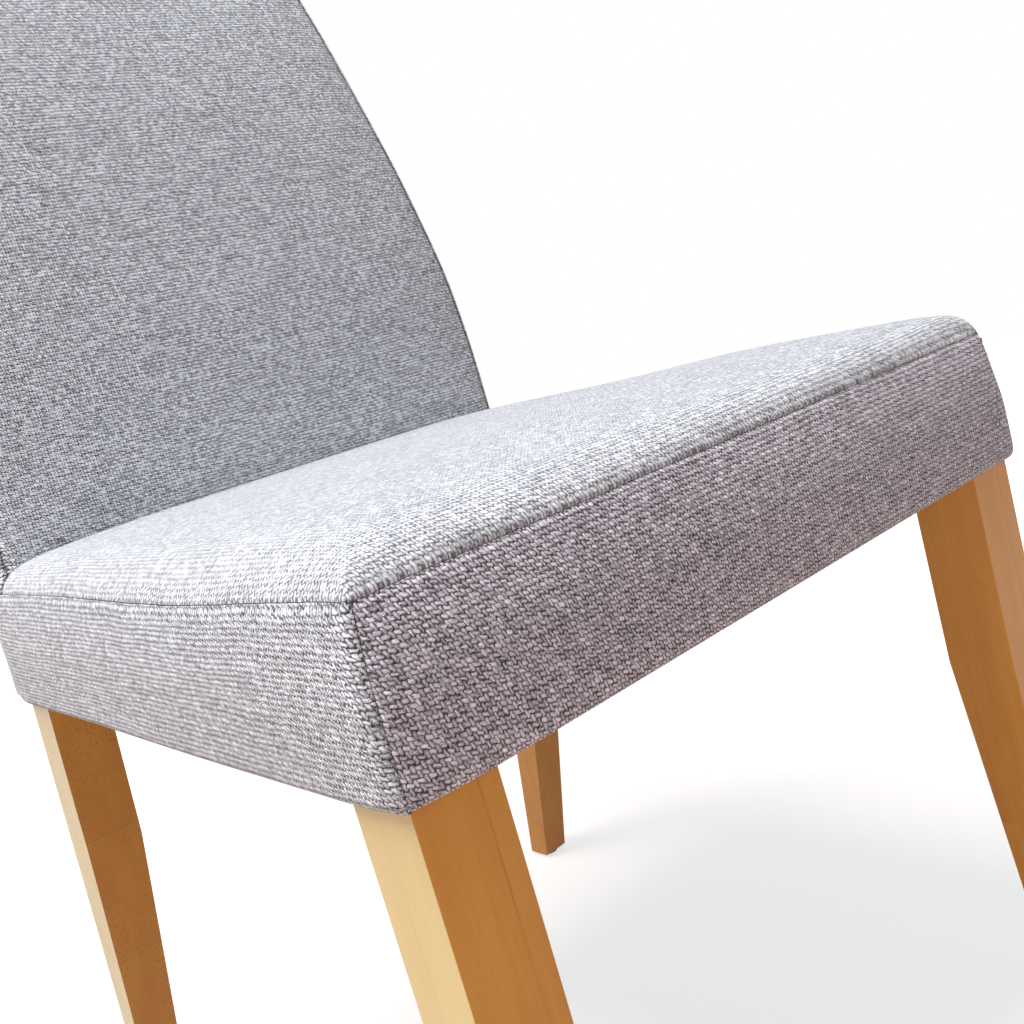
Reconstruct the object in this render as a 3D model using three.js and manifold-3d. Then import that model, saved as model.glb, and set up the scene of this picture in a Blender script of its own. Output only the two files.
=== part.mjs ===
// A parsons chair: an upholstered seat box and a curved upholstered back on four tapered timber legs.
// Millimetres, +Z up, the front faces -Y. The origin is on the floor under the middle of the chair.
// Pieces are shaped with x from the middle, y from the face of the front boxing and z from the floor.

import * as THREE from "three";
import { mergeVertices } from "three/addons/utils/BufferGeometryUtils.js";
import Module from "manifold-3d";

const wasm = await Module();
wasm.setup();

// Seat box, over its cloth
const seatWidth = 460;
const seatDepth = 454;
const seatBoxHeight = 75;
const seamInsetSide = 5;
const seamInsetFront = 6;
const boxingDrawHeight = 45;
const lowerRollRadius = 9;
const seatFrontCornerRadius = 12;
const rearCornerRadius = 15;
const rearSeamAhead = 17.5;
const frontCornerSeam = 17;
const flapWidth = 32;

// Seat crown above the top seam: a quick rise at the edge and a slow dome behind it
const edgeRise = 16;
const edgeRun = 7;
const domeRise = 5;
const domeRun = 60;
const crownInsetShares = [0.009, 0.022, 0.04, 0.065, 0.11, 0.2, 0.35, 0.57, 0.8];
const crownCornerGrowthShare = 0.3;
const crownCornerLimitShare = 0.8;

// Back, over its cloth, above the top seam
const backHeight = 537;
const backLean = 132;
const backNarrowing = 22;
const backDepthAtSeat = 38;
const backDepthAtTop = 34;
const backTopCornerRadius = 34;
const backTopEdgeRadius = 8;
const gussetFlare = 10;
const gussetFlareShare = 0.85;
const rearRadiusLimitShare = 0.42;
const frontSeamRadius = 6;
const frontSeamSetback = 4;
const gussetSeamQuarterShares = [-1, -0.33];
const leanShares = [
  [0, 0],
  [0.2, 0.001],
  [0.28, 0.019],
  [0.447, 0.153],
  [0.572, 0.291],
  [0.704, 0.474],
  [0.795, 0.632],
  [1, 1],
];
const narrowingShares = [
  [0, 0],
  [0.12, 0.02],
  [0.28, 0.27],
  [0.447, 0.56],
  [0.572, 0.8],
  [0.704, 0.93],
  [0.795, 0.98],
  [1, 1],
];
const topLevelShares = [1, 0.72, 0.47, 0.27, 0.12, 0.03, 0];

// Legs
const legLength = 365;
const legInset = 5;
const frontLegSize = 40;
const rearLegWidth = 38;
const rearLegDepth = 36;
const rearLegAhead = 20.5;
const rearLegKick = 98;
const footWidth = 26;
const footDepth = 24;
const taperStart = 118;

// Glides under the legs
const glideRadius = 9;
const glideThickness = 3;
const nailRadius = 1.4;
const nailLength = 14;

// Seat frame
const railThickness = 22;
const railReveal = 3;
const tenonThickness = 10;
const tenonLength = 14;
const tenonShoulder = 8;
const foamBelowSeam = 17;
const seatBoardThickness = 8;
const seatBoardRearInset = 2;
const ventRadius = 14;
const ventPlaceShares = [0.3, 0.7];
const blockThickness = 24;
const blockStandoff = 3;
const blockHeight = 34;
const blockLength = 140;

// Back frame
const postWidth = 32;
const postSideGap = 3;
const postTopDrop = 12;
const backPadThickness = 8;
const backBoardThickness = 4;
const backBoardInset = 4;
const backBottomRailHeight = 40;
const backBottomRailDepth = 20;
const backMiddleRailHeight = 40;
const backMiddleRailShare = 0.42;
const backTopRailHeight = 55;

// Sheets
const clothThickness = 2.5;
const dustCoverThickness = 0.8;
const dustCoverInset = 16;

// Fasteners
const legBoltRadius = 3.8;
const legBoltInTimber = 20;
const legBoltBeyondNut = 3;
const nutRadius = 7.5;
const nutThickness = 6.5;
const washerThickness = 1.6;
const washerRim = 4.5;
const backBoltRadius = 3;
const backBoltHeadRadius = 5;
const backBoltHeadThickness = 5;
const backBoltWasherRadius = 7;
const backBoltInLeg = 18;
const backBoltInPost = 26;
const backBoltSpacing = 24;
const backBoltEdge = 11;
const insertWall = 2;
const insertLength = 14;

// Clearances
const gap = 0.3;
const overrun = 30;
const weldDistance = 0.0001;
const sliverThickness = 0.02;
const cornerSteps = 4;
const backSteps = 14;
const curveHalvings = 30;
const boltSides = 12;
const nutSides = 6;

// Heights and places worked out from the sizes above
const boxBottom = glideThickness + gap + legLength;
const seamHeight = boxBottom + seatBoxHeight;
const backTop = seamHeight + backHeight;
const foamBottom = seamHeight - foamBelowSeam;
const boardBottom = foamBottom - gap - seatBoardThickness;
const railTop = boardBottom - gap;
const railBottom = boxBottom + clothThickness + gap;
const railMiddle = (railTop + railBottom) / 2;
const halfSeat = seatWidth / 2;
const halfSeam = halfSeat - seamInsetSide;
const rake = rearLegKick / legLength;
const railOuterX = halfSeat - legInset - railReveal;
const railInnerX = railOuterX - railThickness;
const frontRailFront = legInset + railReveal;
const frontRailBack = frontRailFront + railThickness;
const frontLegInnerX = halfSeat - legInset - frontLegSize;
const rearLegInnerX = halfSeat - legInset - rearLegWidth;
const frontLegBack = legInset + frontLegSize;
const postTop = backTop - postTopDrop - clothThickness;
const boardOnPost = gap + backBoardThickness;
const postBehindFace = clothThickness + gap + backPadThickness + gap + boardOnPost;

const X = new THREE.Vector3(1, 0, 0);
const Y = new THREE.Vector3(0, 1, 0);
const Z = new THREE.Vector3(0, 0, 1);
const at = (x, y, z) => new THREE.Vector3(x, y, z);
const along = (point, way, distance) => point.clone().addScaledVector(way, distance);
const sides = { left: -1, right: 1 };

// A value that follows a table of shares: pairs of height share and value share.
function followShares(table, share) {
  const curve = new THREE.SplineCurve(table.map(([h, v]) => new THREE.Vector2(h, v)));
  let low = 0;
  let high = 1;
  for (let halving = 0; halving < curveHalvings; halving++) {
    const middle = (low + high) / 2;
    if (curve.getPoint(middle).x < share) low = middle;
    else high = middle;
  }
  return curve.getPoint(low).y;
}

// The back's curves are straight steps between these levels, so that all pieces follow the same line.
const backShares = Array.from({ length: backSteps + 1 }, (_, step) => step / backSteps);
const backLevels = backShares.map((share) => seamHeight + backHeight * share);
const leanOf = (share) => backLean * followShares(leanShares, share);
const narrowingOf = (share) => backNarrowing * followShares(narrowingShares, share);
const faceLevels = backShares.map((share) => seatDepth + leanOf(share));
const halfLevels = backShares.map((share) => halfSeam - narrowingOf(share));

function alongLevels(values, z) {
  const steps = Math.max(0, ((z - seamHeight) / backHeight) * backSteps);
  const step = Math.min(Math.floor(steps), backSteps - 1);
  return THREE.MathUtils.lerp(values[step], values[step + 1], steps - step);
}

const backFace = (z) => alongLevels(faceLevels, z);
const backHalf = (z) => alongLevels(halfLevels, z);
const backShare = (z) => Math.max(0, (z - seamHeight) / backHeight);
const backDepth = (z) => THREE.MathUtils.lerp(backDepthAtSeat, backDepthAtTop, backShare(z));
const backRear = (z) => backFace(z) + backDepth(z) + rake * Math.max(0, seamHeight - z);
const rearLegRear = (z) => seatDepth - rearLegAhead + rearLegDepth + rake * (boxBottom - z);
const rearLegFront = (z) => rearLegRear(z) - rearLegDepth;
const rearRailFront = (z) => rearLegRear(z) - railThickness;
const postFront = (z) => backFace(z) + postBehindFace;
const postRear = (z) => backRear(z) - clothThickness - gap;
const postOuter = (z) => backHalf(z) - clothThickness - postSideGap;
const postInner = (z) => postOuter(z) - postWidth;

// Solids from closed geometries, and back

function solidOf(geometry) {
  const bare = geometry.clone();
  bare.deleteAttribute("normal");
  bare.deleteAttribute("uv");
  const merged = mergeVertices(bare, weldDistance);
  const vertProperties = merged.attributes.position.array;
  const triVerts = new Uint32Array(merged.index.array);
  return new wasm.Manifold(new wasm.Mesh({ numProp: 3, vertProperties, triVerts }));
}

function geometryOf(solid) {
  const { vertProperties, triVerts } = solid.simplify(sliverThickness).getMesh();
  const geometry = new THREE.BufferGeometry();
  geometry.setAttribute("position", new THREE.BufferAttribute(vertProperties, 3));
  geometry.setIndex(new THREE.BufferAttribute(triVerts, 1));
  geometry.computeVertexNormals();
  return geometry;
}

const join = (solids) => solids.reduce((whole, piece) => whole.add(piece));

function block(low, high) {
  const size = high.clone().sub(low);
  const middle = low.clone().add(high).multiplyScalar(0.5);
  const box = new THREE.BoxGeometry(size.x, size.y, size.z);
  return solidOf(box.translate(middle.x, middle.y, middle.z));
}

function extrude(outline, depth) {
  const shape = new THREE.Shape(outline.map(([u, v]) => new THREE.Vector2(u, v)));
  return new THREE.ExtrudeGeometry(shape, { depth, bevelEnabled: false });
}

// An outline in y and z, cut straight through along x.
function sideCut(outline, fromX, toX) {
  const turned = new THREE.Matrix4().makeBasis(Y, Z, X);
  return solidOf(extrude(outline, toX - fromX).applyMatrix4(turned).translate(fromX, 0, 0));
}

// An outline in x and z, cut straight through along y.
function frontCut(outline, fromY, toY) {
  const turned = new THREE.Matrix4().makeBasis(X, Z, Y.clone().negate());
  return solidOf(extrude(outline, toY - fromY).applyMatrix4(turned).translate(0, toY, 0));
}

// A closed form through rings of points that run anticlockwise seen from above, from the lowest up.
function loft(rings) {
  const count = rings[0].length;
  const centre = (ring) => ring.reduce((sum, p) => sum.add(p), at(0, 0, 0)).divideScalar(count);
  const points = [...rings.flat(), centre(rings[0]), centre(rings.at(-1))];
  const lowCentre = rings.length * count;
  const topRing = lowCentre - count;
  const faces = [];
  for (let step = 0; step < count; step++) {
    const next = (step + 1) % count;
    faces.push(next, step, lowCentre, topRing + step, topRing + next, lowCentre + 1);
    for (let base = 0; base < topRing; base += count) {
      faces.push(base + step, base + next, base + count + next);
      faces.push(base + step, base + count + next, base + count + step);
    }
  }
  const geometry = new THREE.BufferGeometry().setFromPoints(points);
  geometry.setIndex(faces);
  return solidOf(geometry);
}

// Points of an arc about a centre, with the angles counted in quarter turns.
function arc(centreX, centreY, radius, fromQuarter, toQuarter) {
  const points = [];
  for (let step = 0; step <= cornerSteps; step++) {
    const quarter = THREE.MathUtils.lerp(fromQuarter, toQuarter, step / cornerSteps);
    const angle = (quarter * Math.PI) / 2;
    points.push([centreX + radius * Math.cos(angle), centreY + radius * Math.sin(angle)]);
  }
  return points;
}

// A whole ring at one height from the points of its right half, which run from front to rear.
function ringOf(half, z) {
  const right = half.map(([x, y]) => at(x, y, z));
  const left = half.map(([x, y]) => at(-x, y, z)).reverse();
  return [...right, ...left];
}

// Upholstered forms. An offset draws the whole form inwards, for the inside of the cloth and for the foam.

function seatHalf(half, front, rear, frontRadius, rearRadius) {
  return [
    ...arc(half - frontRadius, front + frontRadius, frontRadius, -1, 0),
    ...arc(half - rearRadius, rear - rearRadius, rearRadius, 0, 1),
  ];
}

// The crown's height and its slope at a distance in from the seam.
function crown(inset) {
  const edge = edgeRise * (1 - Math.exp(-inset / edgeRun));
  return edge + domeRise * (1 - Math.exp(-inset / domeRun));
}

function crownSlope(inset) {
  const edge = (edgeRise / edgeRun) * Math.exp(-inset / edgeRun);
  return edge + (domeRise / domeRun) * Math.exp(-inset / domeRun);
}

// How far the boxing leans in at a height, as a share of its lean at the seam.
function drawShare(z) {
  const above = Math.max(0, z - (seamHeight - boxingDrawHeight));
  return (above / boxingDrawHeight) ** 2;
}

function boxingRing(z, inset, offset) {
  const side = halfSeat - seamInsetSide * drawShare(z) - inset;
  const front = seamInsetFront * drawShare(z) + inset;
  const frontRadius = Math.max(seatFrontCornerRadius - offset, gap);
  const rearRadius = rearCornerRadius - offset;
  return ringOf(seatHalf(side, front, backRear(z) - inset, frontRadius, rearRadius), z);
}

function crownRing(inset, offset) {
  const slope = crownSlope(inset);
  const steep = Math.hypot(1, slope);
  const inward = inset + (offset * slope) / steep;
  const z = seamHeight + crown(inset) - offset / steep;
  const grown = seatFrontCornerRadius - offset + inset * crownCornerGrowthShare;
  const radius = Math.min(grown, (halfSeam - inward) * crownCornerLimitShare);
  const rear = seatDepth + backDepthAtSeat / 2;
  return ringOf(seatHalf(halfSeam - inward, seamInsetFront + inward, rear, radius, gussetFlare), z);
}

function seatForm(offset) {
  const rings = [];
  const roll = lowerRollRadius - offset;
  for (const [reach, rise] of arc(0, 0, roll, -1, 0)) {
    rings.push(boxingRing(boxBottom + offset + roll + rise, offset + roll - reach, offset));
  }
  for (let step = 0; step <= cornerSteps; step++) {
    const z = seamHeight - boxingDrawHeight * (1 - step / cornerSteps);
    rings.push(boxingRing(z, offset, offset));
  }
  for (const share of crownInsetShares) {
    rings.push(crownRing(share * halfSeat, offset));
  }
  return loft(rings);
}

function backHalfRing(z, side, front, rear, offset) {
  const seamRadius = frontSeamRadius - offset;
  const rearRadius = Math.min(rearCornerRadius - offset, (rear - front) * rearRadiusLimitShare);
  const seamX = side - gussetFlare - seamRadius;
  return ringOf([
    ...arc(seamX, front + seamRadius, seamRadius, ...gussetSeamQuarterShares),
    [side, THREE.MathUtils.lerp(front, rear - rearRadius, gussetFlareShare)],
    ...arc(side - rearRadius, rear - rearRadius, rearRadius, 0, 1),
  ], z);
}

// How far a round edge has drawn in at a drop below its top.
function roundedIn(radius, drop) {
  const inside = Math.max(0, radius - drop);
  return radius - Math.sqrt(radius * radius - inside * inside);
}

function backForm(offset) {
  const rings = [];
  const corner = backTopCornerRadius - offset;
  const edge = backTopEdgeRadius - offset;
  const cornerHeight = backTop - backTopCornerRadius;
  const top = backTop - offset;
  const lowest = foamBottom;
  const levels = [lowest, ...backLevels.filter((z) => z < cornerHeight)];
  for (const z of levels) {
    const rear = backRear(Math.max(z, seamHeight)) - offset;
    rings.push(backHalfRing(z, backHalf(z) - offset, backFace(z) + offset, rear, offset));
  }
  for (const share of topLevelShares) {
    const drop = share * corner;
    const z = top - drop;
    const side = backHalf(z) - offset - roundedIn(corner, drop);
    const edgeIn = offset + roundedIn(edge, drop);
    rings.push(backHalfRing(z, side, backFace(z) + edgeIn, backRear(z) - edgeIn, offset));
  }
  return loft(rings);
}

// An outline between two lines that follow the height, from a low height to a high one.
function bandAlong(nearOf, farOf, low, high) {
  const bends = backLevels.filter((z) => z > low && z < Math.min(high, backTop));
  const heights = [low, ...bends, high];
  const up = heights.map((z) => [nearOf(z), z]);
  const down = heights.map((z) => [farOf(z), z]).reverse();
  return [...up, ...down];
}

const insideSeat = seatForm(clothThickness + gap);
const insideBack = backForm(clothThickness + gap);
const insideCloth = insideSeat.add(insideBack);

// Timber

function frontLegBlank(side, grow) {
  const outer = halfSeat - legInset + grow;
  const inner = frontLegInnerX - grow;
  const xs = side < 0 ? [-outer, -inner] : [inner, outer];
  const low = boxBottom - overrun;
  return block(at(xs[0], legInset - grow, low), at(xs[1], frontLegBack + grow, railTop + grow));
}

function rearLegBlank(side, grow) {
  const low = boxBottom - overrun;
  const high = railTop + grow;
  const outline = [
    [rearLegFront(low) - grow, low],
    [rearLegRear(low) + grow, low],
    [rearLegRear(high) + grow, high],
    [rearLegFront(high) - grow, high],
  ];
  const outer = halfSeat - legInset + grow;
  const inner = rearLegInnerX - grow;
  return side < 0 ? sideCut(outline, -outer, -inner) : sideCut(outline, inner, outer);
}

// A leg is sawn twice, once to its side outline and once to its front outline.
function legFrontOutline(side, width) {
  const outer = halfSeat - legInset;
  const floorEnd = glideThickness + gap;
  const crease = boxBottom - taperStart;
  const points = [
    [outer, floorEnd],
    [outer, railTop],
    [outer - width, railTop],
    [outer - width, crease],
    [outer - footWidth, floorEnd],
  ];
  return points.map(([x, z]) => [side * x, z]);
}

function frontLeg(side) {
  const floorEnd = glideThickness + gap;
  const outline = [
    [legInset, floorEnd],
    [legInset + footDepth, floorEnd],
    [frontLegBack, boxBottom - taperStart],
    [frontLegBack, railTop],
    [legInset, railTop],
  ];
  const sideSawn = sideCut(outline, -halfSeat, halfSeat);
  return sideSawn.intersect(frontCut(legFrontOutline(side, frontLegSize), 0, seatDepth));
}

function rearLeg(side) {
  const floorEnd = glideThickness + gap;
  const crease = boxBottom - taperStart;
  const outline = [
    [rearLegRear(floorEnd), floorEnd],
    [rearLegRear(railTop), railTop],
    [rearLegFront(railTop), railTop],
    [rearLegFront(crease), crease],
    [rearLegRear(floorEnd) - footDepth, floorEnd],
  ];
  const sideSawn = sideCut(outline, -halfSeat, halfSeat);
  const frontOutline = legFrontOutline(side, rearLegWidth);
  return sideSawn.intersect(frontCut(frontOutline, 0, rearLegRear(0) + overrun));
}

// A rail's tenons are the ends of one strip through its middle. Its mortises are that strip, grown.

const tenonLow = railBottom + tenonShoulder;
const tenonHigh = railTop - tenonShoulder;
const tenonSetback = (railThickness - tenonThickness) / 2;

function frontTenons(grow) {
  const end = frontLegInnerX + tenonLength + grow;
  const front = frontRailFront + tenonSetback;
  const low = at(-end, front - grow, tenonLow - grow);
  return block(low, at(end, front + tenonThickness + grow, tenonHigh + grow));
}

function rearTenons(grow) {
  const end = rearLegInnerX + tenonLength + grow;
  const rearOf = (z) => rearLegRear(z) - tenonSetback + grow;
  const frontOf = (z) => rearLegRear(z) - tenonSetback - tenonThickness - grow;
  return sideCut(bandAlong(frontOf, rearOf, tenonLow - grow, tenonHigh + grow), -end, end);
}

function sideTenons(side, grow) {
  const frontOf = () => frontLegBack - tenonLength - grow;
  const rearOf = (z) => rearLegFront(z) + tenonLength + grow;
  const inner = side * (railInnerX + tenonSetback - grow);
  const outer = side * (railOuterX - tenonSetback + grow);
  const outline = bandAlong(frontOf, rearOf, tenonLow - grow, tenonHigh + grow);
  return sideCut(outline, ...[inner, outer].sort((a, b) => a - b));
}

function frontRail() {
  const end = frontLegInnerX - gap;
  return block(at(-end, frontRailFront, railBottom), at(end, frontRailBack, railTop)).add(frontTenons(0));
}

function rearRail() {
  const end = rearLegInnerX - gap;
  const outline = bandAlong(rearRailFront, rearLegRear, railBottom, railTop);
  return sideCut(outline, -end, end).add(rearTenons(0));
}

function sideRail(side) {
  const rearOf = (z) => rearLegFront(z) - gap;
  const outline = bandAlong(() => frontLegBack + gap, rearOf, railBottom, railTop);
  const xs = [side * railInnerX, side * railOuterX].sort((a, b) => a - b);
  return sideCut(outline, ...xs).add(sideTenons(side, 0));
}

// The space between the four rails.
function insideRails() {
  const rearOf = (z) => rearRailFront(z) - gap;
  const outline = bandAlong(() => frontRailBack + gap, rearOf, railBottom, railTop);
  return sideCut(outline, gap - railInnerX, railInnerX - gap);
}

// The four corners of the frame: the leg's inner corner at the bolt, and the way from it into the seat.
function corners() {
  const top = railMiddle + blockHeight / 2;
  const list = [];
  for (const [name, side] of Object.entries(sides)) {
    list.push({
      name: "front_" + name,
      corner: at(side * frontLegInnerX, frontLegBack, railMiddle),
      inward: at(-side, 1, 0).normalize(),
      boltSetback: 0,
    });
    list.push({
      name: "rear_" + name,
      corner: at(side * rearLegInnerX, rearLegFront(top), railMiddle),
      inward: at(-side, -1, 0).normalize(),
      boltSetback: (rearLegFront(railMiddle) - rearLegFront(top)) * Math.SQRT1_2,
    });
  }
  return list;
}

function cornerBlock({ corner, inward }) {
  const across = Z.clone().cross(inward);
  const blank = new THREE.BoxGeometry(blockThickness, blockLength, blockHeight);
  const middle = along(corner, inward, blockStandoff + blockThickness / 2);
  blank.applyMatrix4(new THREE.Matrix4().makeBasis(inward, across, Z));
  return solidOf(blank.translate(middle.x, middle.y, middle.z)).intersect(insideRails());
}

// A board with vent holes on top of the rails carries the foam.
function seatBoard() {
  const low = at(-railOuterX, frontRailFront, boardBottom);
  const high = at(railOuterX, rearLegRear(railTop) - seatBoardRearInset, foamBottom - gap);
  const vents = [];
  for (const across of ventPlaceShares) {
    for (const back of ventPlaceShares) {
      const x = THREE.MathUtils.lerp(low.x, high.x, across);
      const y = THREE.MathUtils.lerp(low.y, high.y, back);
      vents.push(rod(ventRadius, at(x, y, railTop), at(x, y, foamBottom), boltSides));
    }
  }
  return block(low, high).subtract(join(vents));
}

// Posts have a heel that is bolted to the back of the leg, and a shaft that carries the back.
function post(side) {
  const shaft = bandAlong(postFront, postRear, seamHeight, postTop);
  const outline = [
    [rearLegRear(railBottom) + gap, railBottom],
    [rearLegRear(railTop) + gap, railTop],
    ...shaft,
    [postRear(railBottom), railBottom],
  ];
  const front = bandAlong(postInner, postOuter, railBottom, postTop).map(([x, z]) => [side * x, z]);
  const sideSawn = sideCut(outline, -halfSeat, halfSeat);
  const sawn = sideSawn.intersect(frontCut(front, 0, backRear(backTop) + overrun));
  return sawn.intersect(insideCloth);
}

const backRailSpans = {
  back_bottom_rail: [railBottom, railBottom + backBottomRailHeight],
  back_middle_rail: [
    seamHeight + backMiddleRailShare * backHeight - backMiddleRailHeight / 2,
    seamHeight + backMiddleRailShare * backHeight + backMiddleRailHeight / 2,
  ],
  back_top_rail: [postTop - backTopRailHeight, postTop],
};

const backRailDepths = {
  back_bottom_rail: () => backBottomRailDepth,
  back_middle_rail: (z) => postRear(z) - postFront(z),
  back_top_rail: (z) => postRear(z) - postFront(z),
};

function backTenons(name, grow) {
  const [low, high] = backRailSpans[name];
  const middle = (z) => postRear(z) - backRailDepths[name](z) / 2;
  const half = tenonThickness / 2 + grow;
  const frontOf = (z) => middle(z) - half;
  const rearOf = (z) => middle(z) + half;
  const fromZ = low + tenonShoulder - grow;
  const toZ = high - tenonShoulder + grow;
  const outline = bandAlong(frontOf, rearOf, fromZ, toZ);
  const end = Math.min(postInner(low), postInner(high)) + tenonLength - 2 * gap + grow;
  return sideCut(outline, -end, end);
}

function backRail(name) {
  const [low, high] = backRailSpans[name];
  const outline = bandAlong((z) => postRear(z) - backRailDepths[name](z), postRear, low, high);
  const end = (z) => postInner(z) - gap;
  const front = bandAlong((z) => -end(z), end, low, high);
  const between = frontCut(front, 0, backRear(backTop) + overrun);
  const rail = sideCut(outline, -halfSeat, halfSeat).intersect(between);
  return rail.add(backTenons(name, 0)).intersect(insideCloth);
}

// A thin bent board on the fronts of the posts carries the pad.
function backBoard() {
  const low = seamHeight + backBoardInset;
  const high = postTop - backBoardInset;
  const edge = (z) => postOuter(z) - backBoardInset;
  const frontOf = (z) => postFront(z) - boardOnPost;
  const rearOf = (z) => postFront(z) - gap;
  const bent = sideCut(bandAlong(frontOf, rearOf, low, high), -halfSeat, halfSeat);
  const front = bandAlong((z) => -edge(z), edge, low, high);
  const cutOut = frontCut(front, 0, backRear(backTop) + overrun);
  return bent.intersect(cutOut).intersect(insideCloth);
}

// Round fasteners

function rod(radius, from, to, faces) {
  const way = to.clone().sub(from);
  const length = way.length();
  const turn = new THREE.Quaternion().setFromUnitVectors(Y, way.normalize());
  const middle = from.clone().add(to).multiplyScalar(0.5);
  const geometry = new THREE.CylinderGeometry(radius, radius, length, faces);
  return solidOf(geometry.applyQuaternion(turn).translate(middle.x, middle.y, middle.z));
}

function ring(radius, bore, from, to, faces) {
  const way = to.clone().sub(from).normalize();
  const boreRod = rod(bore, along(from, way, -overrun), along(to, way, overrun), boltSides);
  return rod(radius, from, to, faces).subtract(boreRod);
}

// A hanger bolt goes from the leg's inner corner through the corner block, with a washer and a nut.
function legBolt({ corner, inward, boltSetback }) {
  const blockFace = blockStandoff + blockThickness;
  const washerFrom = blockFace + gap;
  const nutFrom = washerFrom + washerThickness + gap;
  const end = nutFrom + nutThickness + legBoltBeyondNut;
  const inTimber = boltSetback + legBoltInTimber;
  const bore = legBoltRadius + gap;
  const point = (distance) => along(corner, inward, distance);
  const washerTo = washerFrom + washerThickness;
  const nutTo = nutFrom + nutThickness;
  return {
    bolt: rod(legBoltRadius, point(-inTimber), point(end), boltSides),
    washer: ring(legBoltRadius + washerRim, bore, point(washerFrom), point(washerTo), boltSides),
    nut: ring(nutRadius, bore, point(nutFrom), point(nutTo), nutSides),
    hole: rod(bore, point(-inTimber - gap), point(end + overrun), boltSides),
  };
}

// Socket screws from behind hold each post's heel to its leg, in threaded inserts.
function backBolt(side, step) {
  const way = at(0, -1, -rake).normalize();
  const z = railMiddle + (step * backBoltSpacing) / 2;
  const face = at(side * (postOuter(railMiddle) - backBoltEdge), rearLegRear(z), z);
  const tip = along(face, way, backBoltInLeg);
  const head = along(face, way, -backBoltInPost);
  const washerFrom = along(head, way, gap);
  const washerTo = along(washerFrom, way, washerThickness);
  const insertFrom = along(face, way, gap);
  const insertTo = along(insertFrom, way, insertLength);
  const bore = backBoltRadius + gap;
  const sleeve = bore + insertWall;
  const headTop = along(head, way, -backBoltHeadThickness);
  const sink = [along(washerTo, way, gap), along(washerTo, way, -overrun)];
  const shankHole = rod(bore, head, along(tip, way, gap), boltSides);
  const sinkHole = rod(backBoltWasherRadius + gap, ...sink, boltSides);
  const sleeveHole = rod(sleeve + gap, along(face, way, -gap / 2), along(insertTo, way, gap), boltSides);
  return {
    bolt: rod(backBoltRadius, head, tip, boltSides).add(rod(backBoltHeadRadius, headTop, head, boltSides)),
    washer: ring(backBoltWasherRadius, bore, washerFrom, washerTo, boltSides),
    insert: ring(sleeve, bore, insertFrom, insertTo, boltSides),
    hole: join([shankHole, sinkHole, sleeveHole]),
  };
}

// Glides

function glide(x, y) {
  const top = glideThickness + nailLength;
  const profile = [
    [0, 0],
    [glideRadius, 0],
    [glideRadius, glideThickness],
    [nailRadius, glideThickness],
    [nailRadius, top],
    [0, top],
  ];
  const points = profile.map(([radius, height]) => new THREE.Vector2(radius, height));
  const turned = new THREE.LatheGeometry(points, boltSides).rotateX(Math.PI / 2);
  const hole = rod(nailRadius + gap, at(x, y, 0), at(x, y, top + gap), boltSides);
  return { solid: solidOf(turned.translate(x, y, 0)), hole };
}

function footCentres() {
  const x = halfSeat - legInset - footWidth / 2;
  const rearY = rearLegRear(glideThickness + gap) - footDepth / 2;
  const list = [];
  for (const [name, side] of Object.entries(sides)) {
    list.push({ name: "front_" + name, x: side * x, y: legInset + footDepth / 2 });
    list.push({ name: "rear_" + name, x: side * x, y: rearY });
  }
  return list;
}

// Dust cover under the seat box

function dustCover() {
  const bottom = boxBottom - gap - dustCoverThickness;
  const rear = backRear(boxBottom) - dustCoverInset;
  const half = halfSeat - dustCoverInset;
  const sheet = block(at(-half, dustCoverInset, bottom), at(half, rear, bottom + dustCoverThickness));
  return legBlanks(gap).reduce((left, leg) => left.subtract(leg), sheet);
}

function legBlanks(grow) {
  return Object.values(sides).flatMap((side) => [frontLegBlank(side, grow), rearLegBlank(side, grow)]);
}

// Cloth: one shell round the whole form, parted at its seams

function clothShell() {
  const outer = seatForm(0).add(backForm(0));
  const inner = seatForm(clothThickness).add(backForm(clothThickness));
  const rear = backRear(boxBottom) - flapWidth;
  const opening = block(
    at(flapWidth - halfSeat, flapWidth, boxBottom - overrun),
    at(halfSeat - flapWidth, rear, boxBottom + clothThickness + gap));
  return legBlanks(gap).reduce((left, leg) => left.subtract(leg), outer.subtract(inner).subtract(opening));
}

function seamCutters() {
  const far = seatWidth;
  const behind = backRear(backTop) + overrun;
  const low = boxBottom - overrun;
  const high = backTop + overrun;
  const deepRear = (z) => backRear(z) + overrun;
  const flapFrom = backRear(boxBottom) - flapWidth - gap;
  const flapTop = boxBottom + clothThickness + gap;
  const topSeam = backTop - backTopCornerRadius;

  function rearBand(grow) {
    const from = (z) => backRear(z) - rearSeamAhead - grow;
    return sideCut(bandAlong(from, deepRear, low, high), -far, far);
  }

  function rearFlap(grow) {
    const half = rearLegInnerX + grow;
    return block(at(-half, flapFrom, low), at(half, behind, flapTop));
  }

  function faceBand(grow) {
    const from = (z) => backFace(z) - overrun;
    const to = (z) => backFace(z) + frontSeamSetback + grow;
    return sideCut(bandAlong(from, to, low, high), -far, far);
  }

  function frontFlap(grow) {
    const half = frontLegInnerX + grow;
    return block(at(-half, -overrun, low), at(half, frontLegBack, flapTop));
  }

  return {
    rearPart: (grow) => rearBand(grow).add(rearFlap(grow)),
    faceBand,
    frontPart: (grow) =>
      block(at(-far, -overrun, low), at(far, frontCornerSeam + grow, high)).add(frontFlap(grow)),
    topPart: (grow) => block(at(-far, 0, topSeam - grow), at(far, behind, high)),
    above: block(at(-far, -overrun, seamHeight), at(far, behind, high)),
    ahead: block(at(-far, -overrun, low), at(far, seatDepth, high)),
    leftHalf: block(at(-far, -overrun, low), at(0, behind, high)),
  };
}

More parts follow.
